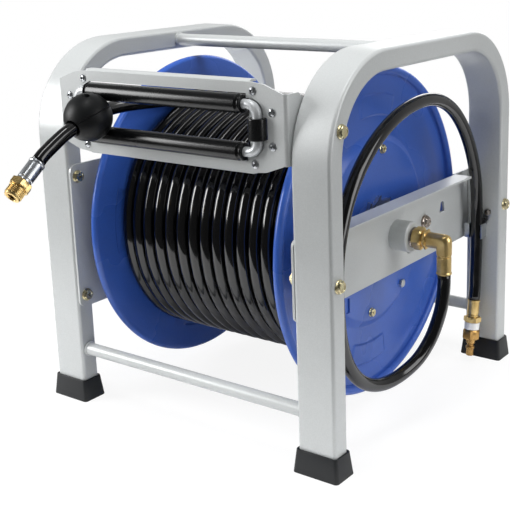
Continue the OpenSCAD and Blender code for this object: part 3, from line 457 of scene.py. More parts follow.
# Where the pieces of the stand and the drum meet, in mm as all values from here on
axle = {
    "height": 223.0, "frameOut": 222.0, "frameIn": 172.0, "plate": 3.0, "legY": 205.0,
    "discX": {"left_disc": -140.5, "right_disc": 134.5},
}


def roundAxle(x, radius, degrees):
    a = math.radians(degrees)
    return Vector((x, radius * math.cos(a), axle["height"] + radius * math.sin(a)))


hose = {
    "radius": 8.125,
    "windRadius": 156.75,
    "gap": 0.3,
    "turns": 14, "extraTurn": 0.1,
    "stepStart": 0.83, "stepLength": 0.14,      # shares of a turn, behind the guide
    # how far each turn lies off its even place, from the last turn to the first
    "drift": (0.0, -1.6, -2.0, -1.9, -1.4, -1.0, -0.3, 0.1, 0.5, 1.1, 1.5, 1.5, 1.0, 0.4, 0.0),
    "layerDrop": 13.4,      # the second layer lies this much nearer to the axle
    "climbSteps": 12, "climbDegrees": 3.2,
    "innerBore": 112.6, "innerCrest": 133.0, "crestSteps": 8, "ringSteps": 72,
    "outerSides": 20, "secondSides": 12, "freeSides": 24,
    "outerRings": 72, "secondRings": 60,        # in each turn
    "sharpDegrees": 60,
}
windLast = axle["discX"]["left_disc"] + hose["radius"] + hose["gap"]
windFirst = axle["discX"]["right_disc"] - hose["radius"] - hose["gap"]
windPitch = (windFirst - windLast) / hose["turns"]
hoseWidth = 2 * hose["radius"]


def easeIn(share):
    share = max(0.0, min(1.0, share))
    return share * share * (3 - 2 * share)


# sideways place of the hose, in turns before its end: it keeps to a circle and then steps over
def windX(u):
    u = min(u, hose["turns"])
    whole = min(int(u), hose["turns"] - 1)
    share = easeIn((u - whole - hose["stepStart"]) / hose["stepLength"])
    drift = hose["drift"]
    return windLast + windPitch * (whole + share) + drift[whole] * (1 - share) + drift[whole + 1] * share


def windPath(radius, shiftX, turns, perTurn):
    count = round(turns * perTurn)
    places = [turns * (1 - i / count) for i in range(count + 1)]
    return [roundAxle(windX(u) + shiftX, radius, 90 - 360 * u) * mmToM for u in places]


def makeWinding():
    turns, radius = hose["turns"] + hose["extraTurn"], hose["windRadius"]
    path = windPath(radius, 0.0, turns, hose["outerRings"])
    # the start climbs out of the layer under it, and the end leaves straight for the guide
    climb = []
    for k in range(hose["climbSteps"], 0, -1):
        drop = hose["layerDrop"] * (1 - math.cos(math.pi * k / hose["climbSteps"])) / 2
        degrees = 90 - 360 * turns - hose["climbDegrees"] * k
        climb.append(roundAxle(windFirst, radius - drop, degrees) * mmToM)
    leaving = [path[-1] - Vector((0, hoseWidth * share * mmToM, 0)) for share in (0.5, 1.0)]
    bm = tubeMesh(climb + path + leaving, hose["radius"] * mmToM, hose["outerSides"])
    addPiece("hoseOuterLayer", bm, glossHose, "drum", ["hose_winding"], hose["sharpDegrees"])
    # the layer under it nests between its turns
    path = windPath(radius - hose["layerDrop"], windPitch / 2, hose["turns"] - 1.0, hose["secondRings"])
    bm = tubeMesh(path, hose["radius"] * mmToM, hose["secondSides"])
    addPiece("hoseSecondLayer", bm, glossHose, "drum", ["hose_layers"], hose["sharpDegrees"])
    # layers below: a turned ring with a crest for each turn
    left, right = axle["discX"]["left_disc"] + hose["gap"], axle["discX"]["right_disc"] - hose["gap"]
    steps = hose["turns"] * hose["crestSteps"]
    profile = [(hose["innerBore"], left)]
    for k in range(steps + 1):
        valley = hose["radius"] * (1 - abs(math.sin(math.pi * k / hose["crestSteps"])))
        profile.append((hose["innerCrest"] - valley, left + (right - left) * k / steps))
    profile.append((hose["innerBore"], right))
    bm = turned(profile, hose["ringSteps"], True)
    bmesh.ops.transform(bm, matrix=placing((0, 0, axle["height"]), (1, 0, 0)), verts=bm.verts)
    addPiece("hoseInnerLayers", bm, sealRubber, "drum", ["hose_layers"],
             hose["sharpDegrees"])


leadRoute = [
    (238.5, 0, 183), (238.5, 0, 166), (237, -3, 142), (233, -9, 119), (229, -19, 100), (223.5, -38, 82),
    (217, -66, 71.5), (212, -96, 70), (208.5, -124, 78), (206.5, -148, 95), (205.5, -166, 119),
    (205, -177, 148), (205, -182, 180), (204.5, -183, 214), (204, -179, 246), (203.5, -170, 276),
    (203, -156, 303), (202.5, -136, 328), (202, -110, 350), (201.5, -79, 368), (201, -44, 381),
    (200.5, -7, 388), (200, 30, 389), (199, 65, 382), (198, 97, 367), (197, 125, 344), (196, 147, 317),
    (195, 164, 287), (193.5, 176, 255), (192.5, 181.5, 222), (192.5, 182.3, 188), (192.5, 182, 155),
    (192.8, 180, 125), (193, 178.37, 105.33), (193, 176, 88.5),
]
ball = {
    "centre": (-89.0, -253.024, 388.0), "radius": 28.0,
    "tilt": 14.7, "boreBend": 160.0, "seamRoll": -22.0,
}


# a place on the middle line of the stopper's curved bore
def inBore(degrees):
    a, t = math.radians(degrees), math.radians(ball["tilt"])
    y, z = ball["boreBend"] * math.sin(a), ball["boreBend"] * (math.cos(a) - 1)
    return (ball["centre"][0], ball["centre"][1] + y * math.cos(t) - z * math.sin(t),
            ball["centre"][2] + y * math.sin(t) + z * math.cos(t))


# a place in front of the stopper's centre and below it
def pastBall(y, z):
    return (ball["centre"][0], ball["centre"][1] - y, ball["centre"][2] - z)


runRoute = [
    (windLast, -hoseWidth, 379.75), (windLast, -2 * hoseWidth, 379.75), (-130, -60, 380.6),
    (-125, -90, 382.5), (-117.5, -120, 385.3), (-109.5, -150, 388.3), (-101, -180, 391),
    (-93.5, -206, 392.7),
    inBore(10), inBore(5), inBore(0), inBore(-5), inBore(-10), pastBall(38, 14), pastBall(47, 18.5),
    pastBall(56, 23.3), pastBall(63, 27.3), pastBall(71.036, 31.997), pastBall(80, 39),
]


def makeFreeHose(name, route, step, replaced):
    path = smoothPath(route, step)
    bm = tubeMesh(path, hose["radius"] * mmToM, hose["freeSides"])
    length = round(sum((b - a).length for a, b in zip(path, path[1:])), 3)
    print(name, "is", length, "m long")
    obj = addPiece(name, bm, glossHose, "stand", replaced, hose["sharpDegrees"])
    return obj, path, length


makeWinding()
leadHose, leadPath, leadLength = makeFreeHose("leadHose", leadRoute, 5.0, ["lead_hose"])
hoseRun, runPath, runLength = makeFreeHose("hoseRun", runRoute, 4.0, ["hose_tail", "hose_end"])
print("hoses done")


# discs: pressed sheet with a dished middle, four embossed pads and a rolled rim
disc = {
    "sheet": 2.0, "bore": 18.0, "hub": 26.0, "hubDepth": 3.0, "depth": 7.0,
    "floor": 113.0, "fold": 122.5,      # the dish climbs between these radii
    "rimCentre": 202.5, "rimRadius": 5.5,
    "neck": ((1.2, 0.6), (2.6, 0.0)),       # of the rolled rim: radius inside it, height over the sheet
    "padIn": 145.0, "padOut": 173.5, "padWidth": 28.0, "padAngle": -94.5, "padHeight": 1.7, "padSlope": 2.2,
    "ringStep": 1.1, "ringsInside": 2, "rings": 29,         # lines of the mesh round the pads
    "slotAngle": -131.0, "slotRadius": 104.0, "slotSize": (8.0, 19.0),
    "steps": 384, "sharpDegrees": 28,
}


# how much of a pad's height the sheet has at a place on the disc
def padShare(radius, angle):
    share = (math.degrees(angle) - disc["padAngle"] + 45) % 90 - 45
    inside = disc["padWidth"] / 2 - abs(share)
    sideways = math.radians(inside) * radius
    return easeIn(min(sideways, radius - disc["padIn"], disc["padOut"] - radius) / disc["padSlope"])


def makeDisc(node, name, side):
    sheet, rim, centre, depth = disc["sheet"], disc["rimRadius"], disc["rimCentre"], disc["depth"]
    hub, fold, floor, bore = disc["hub"], disc["fold"], disc["floor"], disc["bore"]
    flat = [disc["padIn"] + k * disc["ringStep"] for k in range(-disc["ringsInside"], disc["rings"])]
    profile = [(bore, -disc["hubDepth"], 0.5), (hub, -disc["hubDepth"], 0.5), (hub, depth, 1),
               (floor, depth, 6), (fold, 0, 5)] + [(r, 0) for r in flat]
    profile += [(centre + rim * math.cos(math.radians(a)), rim + rim * math.sin(math.radians(a)))
                for a in range(-80, 200, 10)]
    profile += [(centre - rim - inside, sheet + over) for inside, over in disc["neck"]]
    profile += [(r, sheet) for r in flat[::-1]]
    profile += [(fold + 1, sheet, 5), (floor + 1, depth + sheet, 6), (bore, depth + sheet, 0.5)]
    bm = turned(profile, disc["steps"], True)
    # turned about +Z: its x lies towards -Z and its y towards +Y once the axis points along +X
    for vert in bm.verts:
        radius = math.hypot(vert.co.x, vert.co.y)
        if vert.co.z < sheet + 0.1 and disc["padIn"] - 2 < radius < disc["padOut"] + 2:
            vert.co.z += disc["padHeight"] * padShare(radius, math.atan2(-vert.co.x, vert.co.y))
    flatX = axle["discX"][node]
    turn = Matrix.Diagonal((side, 1, 1, 1)) @ Matrix.Rotation(math.radians(90), 4, "Y")
    move = Matrix.Translation((flatX * mmToM, 0, axle["height"] * mmToM))
    bmesh.ops.transform(bm, matrix=move @ turn @ Matrix.Scale(mmToM, 4), verts=bm.verts)
    bmesh.ops.recalc_face_normals(bm, faces=bm.faces)
    obj = addPiece(name, bm, bluePaint, "drum", [node], disc["sharpDegrees"])
    cutter = bmesh.new()
    bmesh.ops.create_cube(cutter, size=1)
    place = roundAxle(flatX + side * (depth + sheet / 2), disc["slotRadius"], disc["slotAngle"])
    bmesh.ops.scale(cutter, vec=(3 * sheet, *disc["slotSize"]), verts=cutter.verts)
    move = Matrix.Scale(mmToM, 4) @ Matrix.Translation(place)
    bmesh.ops.transform(cutter, matrix=move, verts=cutter.verts)
    carve(obj, cutter)


makeDisc("left_disc", "pressedLeftDisc", -1)
makeDisc("right_disc", "pressedRightDisc", 1)
print("discs done")

# rollers: turned, with a groove near each end of the long ones
roller = {
    "y": -224.0, "centreZ": 388.0, "spread": 25.75, "half": 118.0, "radius": 10.5, "bore": 5.55,
    "sideX": 135.5, "sideHalf": 12.0,
}


def makeRollers():
    outer, bore, half = roller["radius"], roller["bore"], roller["half"]
    end = [(bore, half, 0.3), (outer - 0.9, half, 0.8), (outer - 0.4, half - 1.8, 0.8),
           (outer - 2.0, half - 3.2, 0.6), (outer - 2.0, half - 4.0, 0.6), (outer, half - 6.2, 1.2)]
    profile = [(r, -h, fillet) for r, h, fillet in end] + end[::-1]
    for node, side in (("top_roller", 1), ("bottom_roller", -1)):
        bm = turnedPart(profile, (0, roller["y"], roller["centreZ"] + side * roller["spread"]), (1, 0, 0))
        addPiece(node + "Turned", bm, rollerPlastic, node, [node])
    half = roller["sideHalf"]
    end = [(bore, half, 0.3), (outer - 0.5, half, 1.2), (outer, half - 1.2, 1.0)]
    profile = [(r, -h, fillet) for r, h, fillet in end] + end[::-1]
    for node, side in (("left_roller", -1), ("right_roller", 1)):
        bm = turnedPart(profile, (side * roller["sideX"], roller["y"], roller["centreZ"]))
        addPiece(node + "Turned", bm, rollerPlastic, node, [node])


makeRollers()

# stopper: two moulded halves with a curved bore, held by two screws in deep pockets
stopper = {
    "seam": 0.1, "lip": 0.35, "seamEdge": 0.5,      # half the seam's width, and the upper half's overhang
    "boreGap": 0.15, "boreDegrees": 14, "mouthDegrees": 9.2, "mouthDepth": 5, "mouthGap": (0.2, 3.4),
    "screwAside": 15.5, "pocket": 4.0, "pocketFlare": 0.5, "pocketFloor": 11.0,
    "screwHead": ((0, 0), (3.2, 0, 0.3), (3.2, 1.2, 0.8), (1.6, 2.2, 0.6), (1.4, 2.2, 0.1),
                  (1.2, 0.8), (0, 0.8)),
    "nutAcross": 7.0, "nutHigh": 3, "nutMiddle": ((1.6, 3), (1.5, 1), (0, 1)),
    "ballSides": 96, "boreSides": 48, "pocketSides": 32, "sharpDegrees": 40,
}


# the stopper's own axes: tilted with its bore, and its seam rolled about that
def stopperFrame():
    centre = Matrix.Translation(Vector(ball["centre"]) * mmToM)
    tilt = Matrix.Rotation(math.radians(ball["tilt"]), 4, "X")
    return centre @ tilt @ Matrix.Rotation(math.radians(ball["seamRoll"]), 4, "Y")


def makeHalfBall(side):
    seam = stopper["seam"] * side
    bm = bmesh.new()
    bmesh.ops.create_uvsphere(bm, u_segments=stopper["ballSides"], v_segments=stopper["ballSides"] * 2 // 3,
                              radius=ball["radius"] + (stopper["lip"] if side > 0 else 0.0))
    cut = bmesh.ops.bisect_plane(bm, geom=bm.verts[:] + bm.edges[:] + bm.faces[:], dist=weldMm,
                                 plane_co=(0, 0, seam), plane_no=(0, 0, -side), clear_outer=True)
    rim = [e for e in cut["geom_cut"] if isinstance(e, bmesh.types.BMEdge)]
    bmesh.ops.contextual_create(bm, geom=rim)
    rim = [e for e in bm.edges if all(abs(v.co.z - seam) < 10 * weldMm for v in e.verts)]
    bmesh.ops.bevel(bm, geom=rim, offset=stopper["seamEdge"], affect="EDGES", segments=2, profile=0.5,
                    material=-1)
    return bm


def makeStopper():
    place = stopperFrame()
    bm = bmesh.new()
    for side in (1, -1):
        join(bm, makeHalfBall(side), place @ Matrix.Scale(mmToM, 4))
    bmesh.ops.recalc_face_normals(bm, faces=bm.faces)
    obj = addPiece("stopperHalves", bm, ballPlastic, "stand", ["stopper_ball"],
                   stopper["sharpDegrees"])
    reach = stopper["boreDegrees"]
    path = [Vector(inBore(k)) * mmToM for k in range(reach, -reach - 1, -1)]
    carve(obj, tubeMesh(path, (hose["radius"] + stopper["boreGap"]) * mmToM, stopper["boreSides"]))
    for side in (1, -1):           # flared mouths
        mouth = bmesh.new()
        narrow, wide = [hose["radius"] + gap for gap in stopper["mouthGap"]]
        bmesh.ops.create_cone(mouth, cap_ends=True, segments=stopper["boreSides"],
                              radius1=narrow, radius2=wide, depth=stopper["mouthDepth"])
        out = (Vector(inBore(side * 10)) - Vector(inBore(side * 8))).normalized()
        at = inBore(side * stopper["mouthDegrees"])
        bmesh.ops.transform(mouth, matrix=placing(at, out), verts=mouth.verts)
        carve(obj, mouth)
    # the upper half takes the screws, the lower half their nuts, on both sides of the bore
    screws = bmesh.new()
    floor, high, across = stopper["pocketFloor"] + 0.1, stopper["nutHigh"], stopper["nutAcross"]
    for aside in (-stopper["screwAside"], stopper["screwAside"]):
        for side in (1, -1):
            pocket = bmesh.new()
            narrow, wide = stopper["pocket"], stopper["pocket"] + stopper["pocketFlare"]
            bmesh.ops.create_cone(pocket, cap_ends=True, segments=stopper["pocketSides"],
                                  radius1=narrow, radius2=wide, depth=ball["radius"])
            middle = stopper["pocketFloor"] + ball["radius"] / 2
            bmesh.ops.translate(pocket, verts=pocket.verts, vec=(0, 0, middle))
            turnOver = Matrix.Rotation(0 if side > 0 else math.pi, 4, "Y")
            at = place @ Matrix.Scale(mmToM, 4) @ Matrix.Translation((aside, 0, 0)) @ turnOver
            bmesh.ops.transform(pocket, matrix=at, verts=pocket.verts)
            bmesh.ops.recalc_face_normals(pocket, faces=pocket.faces)
            carve(obj, pocket)
            if side > 0:
                head = turned(raised(stopper["screwHead"], floor), 32)
            else:
                rows = [(0, 0), *hexRows(across, 0, high, (0, 0.5)), *stopper["nutMiddle"]]
                head = turned(raised(rows, floor), 48)
                pressFlats(head, floor, floor + high, across, 6)
            join(screws, head, at)
    return obj, addPiece("stopperScrews", screws, brightSteel, "stand")


stopperPieces = makeStopper()
print("rollers and stopper done")


# ridges of the real pitch
def threadRows(radius, low, high, pitch=1.81, depth=0.75):
    rows = []
    for k in range(int((high - low) / pitch)):
        z = low + k * pitch
        rows += [(radius - depth, z), (radius, z + 0.35 * pitch), (radius, z + 0.55 * pitch),
                 (radius - depth, z + 0.9 * pitch)]
    return rows


# crimp sleeve: rolled lip on the hose's side, pressed all round, and a groove at the fitting
def sleeveRows(height, radius, bore):
    lip, groove = radius + 0.6, radius - 0.9
    return [(bore, 0), (lip, 0, 0.4), (lip, 1.6, 0.5), (radius, 3.0, 0.8), (radius, height - 4.2, 0.2),
            (groove, height - 3.5, 0.2), (groove, height - 2.7, 0.2), (radius, height - 2.1, 0.3),
            (radius, height, 0.5), (bore, height)]


# outlet at the end of the hose: nickelled sleeve, brass hexagon and thread
outlet = {
    "dip": 38.0,
    "sleeve": (28, 9.2, 7.6), "crimp": (4.5, 22.0, 17.7, 8),        # height, radius and bore; its flats
    "start": (5.0, 27.0), "hexagon": (23, 28, 37, (1.2, 1.4)), "flats": (27.5, 37.1, 23, 6), "roll": 12,
    "neck": ((9.3, 37.2), (9.3, 38.4)), "thread": (10.4, 38.6, 49.0),
    "mouth": ((9.2, 49.6), (8.2, 50.0), (6.4, 50.0), (5.2, 48.6), (5.2, 30.0)),
}


def makeOutlet():
    dip = math.radians(outlet["dip"])
    place, along = runRoute[-1], (0.0, -math.cos(dip), -math.sin(dip))
    sleeve = turnedPart(sleeveRows(*outlet["sleeve"]), place, along, (outlet["crimp"],))
    crimped = addPiece("outletSleeve", sleeve, nickel, "stand", ["outlet_fitting"])
    rows = [outlet["start"], *hexRows(*outlet["hexagon"]), *outlet["neck"], *threadRows(*outlet["thread"]),
            *outlet["mouth"]]
    body = turnedPart(rows, place, along, (outlet["flats"],), outlet["roll"])
    return crimped, addPiece("outletBody", body, brass, "stand", ["outlet_fitting"])


# pieces on the free end of the lead hose, one after the other down its axis
leadEnd = {
    "place": (193, 176, 88.5), "lean": 8.0,
    "sleeve": (23.5, 8.2, 6.8), "crimp": (4.0, 18.6, 15.6, 8),
    "adapter": 8.0, "adapterAcross": 21, "adapterRoll": 10, "bore": 4,
    "tape": 10.5, "tapeCore": 9.8, "tapeRadius": 10.45, "wrapDip": 0.35, "wrapStep": 0.9, "wraps": 11,
    "nut": 13.5, "nutAcross": 22, "nutRoll": 40, "plugBore": 2.8,
    "plug": ((6.4, 0.2), (6.4, 6, 0.5), (4.6, 7.6, 0.5), (4.6, 9.4, 0.5), (6.2, 11, 0.6), (6.2, 13, 0.6),
             (5.4, 14.6, 0.4), (5.4, 23, 0.5), (4.4, 24, 0.4), (3.0, 24, 0.3), (2.8, 6)),
}


def makeLeadEnd():
    lean, core, bore = math.radians(leadEnd["lean"]), leadEnd["tapeCore"], leadEnd["bore"]
    place, down = leadEnd["place"], (0, -math.sin(lean), -math.cos(lean))
    sleeve = turnedPart(sleeveRows(*leadEnd["sleeve"]), place, down, (leadEnd["crimp"],))
    pieces = [addPiece("leadSleeve", sleeve, brass, "stand", ["lead_sleeve"])]
    low, across = leadEnd["sleeve"][0], leadEnd["adapterAcross"]
    high = low + leadEnd["adapter"]
    tapeEnd = high + leadEnd["tape"]
    rows = [(bore, low), *hexRows(across, low, high), (core, high + 0.1), (core, tapeEnd), (bore, tapeEnd)]
    adapter = turnedPart(rows, place, down, ((low, high, across, 6),), leadEnd["adapterRoll"])
    pieces.append(addPiece("leadAdapter", adapter, brass, "stand", ["lead_adapter"]))
    rows = [(core, high + 0.2)]
    for k in range(leadEnd["wraps"]):
        radius = leadEnd["tapeRadius"] - leadEnd["wrapDip"] * (k % 2)
        rows.append((radius, high + 0.3 + k * leadEnd["wrapStep"], 0.3))
    tape = turnedPart([*rows, (core, tapeEnd - 0.2)], place, down)
    pieces.append(addPiece("wrappedTape", tape, tapeWhite, "stand", ["thread_tape"], 50))
    low, high, across = tapeEnd, tapeEnd + leadEnd["nut"], leadEnd["nutAcross"]
    rows = [(leadEnd["plugBore"], low), *hexRows(across, low, high, (1.3, 1.3)),
            *raised(leadEnd["plug"], high)]
    plug = turnedPart(rows, place, down, ((low, high + 0.1, across, 6),), leadEnd["nutRoll"])
    pieces.append(addPiece("plugTurned", plug, machinedBrass, "stand", ["quick_plug"]))
    return pieces


# inlet: end ring, union nut, second hexagon, a forged elbow and the sleeve under it
inlet = {
    "face": 196.0,
    "ringRows": ((8.6, 0, 0.3), (12.4, 0, 0.5), (13, 0.8, 0.6), (12.4, 3, 0.8), (8.6, 3, 0.6)),
    "ring": 3.0, "nut": 12.0, "neck": 2.0, "hex": 5.0, "nutAcross": 25, "hexAcross": 22, "nutRoll": 8,
    "spigot": 17.0, "spigotRadius": 8.4, "neckRadius": 9.6, "endRadius": 9.0, "endHigh": 1.2, "bore": 5.5,
    "down": 238.5, "elbow": 9.4, "flat": 8.3,       # x of the arm that points down, radius, half the width
    "innerFillet": 1.0, "filletGrowth": 0.36, "bendSteps": 10, "elbowSides": 72,
    "sleeveTop": 208.0, "sleeve": (25.0, 8.9, 7.0), "crimp": (3.4, 20.2, 16.3, 8),
}


# its lines run along one arm, round a fillet that grows to the outside, and down the other
def elbowRings(bm, reach, drop):
    radius, sides, bend = inlet["elbow"], inlet["elbowSides"], inlet["bendSteps"]
    rings = []
    for step in range(-1, bend + 2):
        ring = []
        t = math.radians(90 / bend * max(0, min(bend, step)))
        for k in range(sides):
            a = 2 * math.pi * k / sides
            out = radius * math.cos(a)
            y = max(-inlet["flat"], min(inlet["flat"], radius * math.sin(a)))
            fillet = inlet["innerFillet"] + inlet["filletGrowth"] * (out + radius)
            across, up = out - fillet * (1 - math.sin(t)), out - fillet * (1 - math.cos(t))
            ring.append(bm.verts.new((-reach if step < 0 else across, y, -drop if step > bend else up)))
        rings.append(ring)
    return rings


def makeInlet():
    along, place, height = (1, 0, 0), (0, 0, axle["height"]), axle["height"]
    x = inlet["face"]
    ring = turnedPart(raised(inlet["ringRows"], x), place, along)
    addPiece("inletRing", ring, dullNickel, "stand", ["inlet_ring"])
    x += inlet["ring"]
    nutEnd = x + inlet["nut"]
    hexStart = nutEnd + inlet["neck"]
    hexEnd = hexStart + inlet["hex"]
    flatsEnd = hexEnd - inlet["endHigh"]
    bore, spigot, wide, small = inlet["bore"], inlet["spigotRadius"], inlet["nutAcross"], inlet["hexAcross"]
    rows = [(bore, x - inlet["spigot"]), (spigot, x - inlet["spigot"]), (spigot, x + 0.1),
            *hexRows(wide, x + 0.1, nutEnd, (1.2, 1.6)),
            (inlet["neckRadius"], nutEnd + 0.1, 0.3), (inlet["neckRadius"], hexStart - 0.2, 0.3),
            *hexRows(small, hexStart, flatsEnd, (1.2, 0.8)),
            (inlet["endRadius"], flatsEnd, 0.2), (inlet["endRadius"], hexEnd), (bore, hexEnd)]
    flats = ((x, nutEnd, wide, 6), (hexStart, flatsEnd, small, 6))
    nut = turnedPart(rows, place, along, flats, inlet["nutRoll"])
    addPiece("inletNutTurned", nut, brass, "stand", ["inlet_nut"])
    bm = bmesh.new()
    rings = elbowRings(bm, inlet["down"] - hexEnd, height - inlet["sleeveTop"])
    sides = inlet["elbowSides"]
    for one, two in zip(rings, rings[1:]):
        for k in range(sides):
            bm.faces.new((one[k], one[(k + 1) % sides], two[(k + 1) % sides], two[k]))
    bm.faces.new(rings[0])
    bm.faces.new(rings[-1][::-1])
    bmesh.ops.transform(bm, matrix=placing((inlet["down"], 0, height)), verts=bm.verts)
    bmesh.ops.recalc_face_normals(bm, faces=bm.faces)
    addPiece("forgedElbow", bm, brass, "stand", ["inlet_elbow"])
    place = (inlet["down"], 0, inlet["sleeveTop"] - inlet["sleeve"][0])
    sleeve = turnedPart(sleeveRows(*inlet["sleeve"]), place, flats=(inlet["crimp"],))
    addPiece("elbowSleeve", sleeve, brass, "stand", ["elbow_sleeve"])


outletPieces = makeOutlet()
leadPieces = makeLeadEnd()
makeInlet()
print("fittings done")


# hexagon bolt with a round flange, seat at 0 and shank below it, in shares of its thread
bolt = {
    "across": 1.63, "high": 0.66, "flatsLow": 0.225, "flangeFillet": 0.3,
    "crossWidth": 0.18, "crossReach": 0.3, "crossDepth": 0.3,
    "skin": 0.9,            # mm of the top that the cross divides
    "steps": 60,
}


def flangeBolt(size, shank, recess=False):
    across, high, fillet = bolt["across"] * size, bolt["high"] * size, bolt["flangeFillet"]
    corner = across / math.sqrt(3)
    flange = [(0.5 * size, 0.0), (size, 0.0, fillet), (size, 0.1 * size, fillet), (0.8 * size, 0.22 * size)]
    hexagon = [(corner, 0.23 * size), (corner, high - 0.13 * size), (0.46 * across, high),
               (0.36 * across, high), (0.32 * across, high - 0.06 * size), (0, high - 0.07 * size)]
    bm = turned([(0, -shank), (0.5 * size, -shank), *flange, *hexagon], bolt["steps"])
    pressFlats(bm, bolt["flatsLow"] * size, high, across, 6)
    if recess:
        cutCross(bm, size)
    return bm


# cross recess in a bolt's flat top
def cutCross(bm, size):
    half, reach = bolt["crossWidth"] * size / 2, bolt["crossReach"] * size
    floor = bolt["high"] * size - bolt["skin"]
    for axis in (0, 1):
        for place in (-reach, -half, half, reach):
            co, no = Vector((0, 0, 0)), Vector((0, 0, 0))
            co[axis], no[axis] = place, 1
            upper = [f for f in bm.faces if f.calc_center_median().z > floor]
            corners, edges = {v for f in upper for v in f.verts}, {e for f in upper for e in f.edges}
            bmesh.ops.bisect_plane(bm, geom=[*corners, *edges, *upper], dist=weldMm,
                                   plane_co=co, plane_no=no)
    picked = []
    for face in bm.faces:
        c = face.calc_center_median()
        inCross = (abs(c.x) < half and abs(c.y) < reach) or (abs(c.y) < half and abs(c.x) < reach)
        if inCross and c.z > floor and face.normal.z > 0.9:
            picked.append(face)
    made = bmesh.ops.extrude_face_region(bm, geom=picked)["geom"]
    bmesh.ops.translate(bm, verts=[v for v in made if isinstance(v, bmesh.types.BMVert)],
                        vec=(0, 0, -bolt["crossDepth"] * size))
    bmesh.ops.delete(bm, geom=picked, context="FACES")


fasteners = {
    "stand": 8.0, "drum": 6.0,
    "nutHigh": 0.8, "spare": 2.5,       # past its grip a shank has a nut, in threads, and a little more
    "plateGrip": 5.0, "discGrip": 3.5,
    "leftPlateZ": (144.0, 300.0), "guideBolt": (-196.0, 388.0),
    "discAngles": (-98.0, -8.0, 82.0, 172.0), "discRadius": 104.0, "discFaces": (143.5, -149.5),
    "clampAngle": -55.0, "clampShank": 12, "clampRadius": 3, "clampAcross": 10, "clampHigh": 4,
    "pawlY": 71.0, "pawlShank": 28.0, "pawlRoll": 15,
    "washer": ((0, 0), (9, 0, 0.3), (9, 1.5, 0.4), (4, 1.5), (0, 1.5)),
    "guideSpots": ((128.0, 39.7), (152.7, 18.2)), "guideFront": -221.0,
    "button": ((0, -9.5), (2.5, -9.5), (2.5, 0), (4.75, 0, 0.1), (4.6, 0.8, 0.5), (3.2, 2.2, 1.0),
               (2.0, 2.7, 0.5), (1.65, 2.65), (1.65, 1.2), (0, 1.0)),
    "buttonSocket": (1.1, 2.66, 3.0, 6),
    "rollStep": 17,         # bolts come to rest at any angle
}


def shankFor(grip, size):
    return grip + fasteners["nutHigh"] * size + fasteners["spare"]


def makeFasteners():
    size, legY, height = fasteners["stand"], axle["legY"], axle["height"]
    out, inside = axle["frameOut"], axle["frameIn"] - axle["plate"]
    long, short = shankFor(out - inside, size), shankFor(fasteners["plateGrip"], size)
    guideY, guideZ = fasteners["guideBolt"]
    rolls = iter(range(0, 400, fasteners["rollStep"]))
    bm = bmesh.new()
    for y, z in ((-legY, height), (legY, height), (guideY, guideZ)):
        join(bm, flangeBolt(size, long), placing((out, y, z), (1, 0, 0), next(rolls)))
    join(bm, flangeBolt(size, long), placing((-out, guideY, guideZ), (-1, 0, 0), next(rolls)))
    for y in (-legY, legY):
        for z in fasteners["leftPlateZ"]:
            join(bm, flangeBolt(size, short, True), placing((-inside, y, z), (1, 0, 0), next(rolls)))
    addPiece("standBolts", bm, yellowZinc, "stand", ["frame_bolts"])

    bm = bmesh.new()
    small, radius, faces = fasteners["drum"], fasteners["discRadius"], fasteners["discFaces"]
    for angle in fasteners["discAngles"]:
        for x in faces:
            place = placing(roundAxle(x, radius, angle), (math.copysign(1, x), 0, 0), next(rolls))
            join(bm, flangeBolt(small, shankFor(fasteners["discGrip"], small), True), place)
    addPiece("drumBolts", bm, yellowZinc, "drum", ["disc_bolts"])

    shank, thread = fasteners["clampShank"], fasteners["clampRadius"]
    across, high = fasteners["clampAcross"], fasteners["clampHigh"]
    head = [*hexRows(across, 0, high, (0, 0.7)), (0, high - 0.1)]
    bm = turned([(0, -shank), (thread, -shank), (thread, 0), *head], bolt["steps"])
    pressFlats(bm, 0, high, across, 6)
    place = placing(roundAxle(faces[0], radius, fasteners["clampAngle"]), (1, 0, 0))
    bmesh.ops.transform(bm, matrix=place, verts=bm.verts)
    addPiece("clampScrewTurned", bm, brightSteel, "drum", ["clamp_screw"])

    bm = turned(fasteners["washer"], 48)
    seat = Vector((axle["frameIn"], fasteners["pawlY"], height))
    bmesh.ops.transform(bm, matrix=placing(seat, (1, 0, 0)), verts=bm.verts)
    seat.x += fasteners["washer"][-1][1]
    join(bm, flangeBolt(size, fasteners["pawlShank"]), placing(seat, (1, 0, 0), fasteners["pawlRoll"]))
    addPiece("pawlBoltNickel", bm, dullNickel, "stand", ["pawl_bolt"])

    bm = bmesh.new()
    for sx in (-1, 1):
        for sz in (-1, 1):
            for x, z in fasteners["guideSpots"]:
                screw = turned(fasteners["button"], 48)
                pressFlats(screw, *fasteners["buttonSocket"])
                at = (sx * x, fasteners["guideFront"], roller["centreZ"] + sz * z)
                join(bm, screw, placing(at, (0, -1, 0), next(rolls)))
    addPiece("guideButtonScrews", bm, brightSteel, "stand", ["guide_screws"])


makeFasteners()


# feet: moulded caps that the tube ends stand in
foot = {
    "x": 197.0, "y": 205.0, "base": (61.0, 36.0), "top": (55.0, 30.0), "tube": (50.0, 25.0), "height": 28.0,
    "sole": 6.0, "play": 0.15, "corner": 4.5, "edge": 0.7,
}


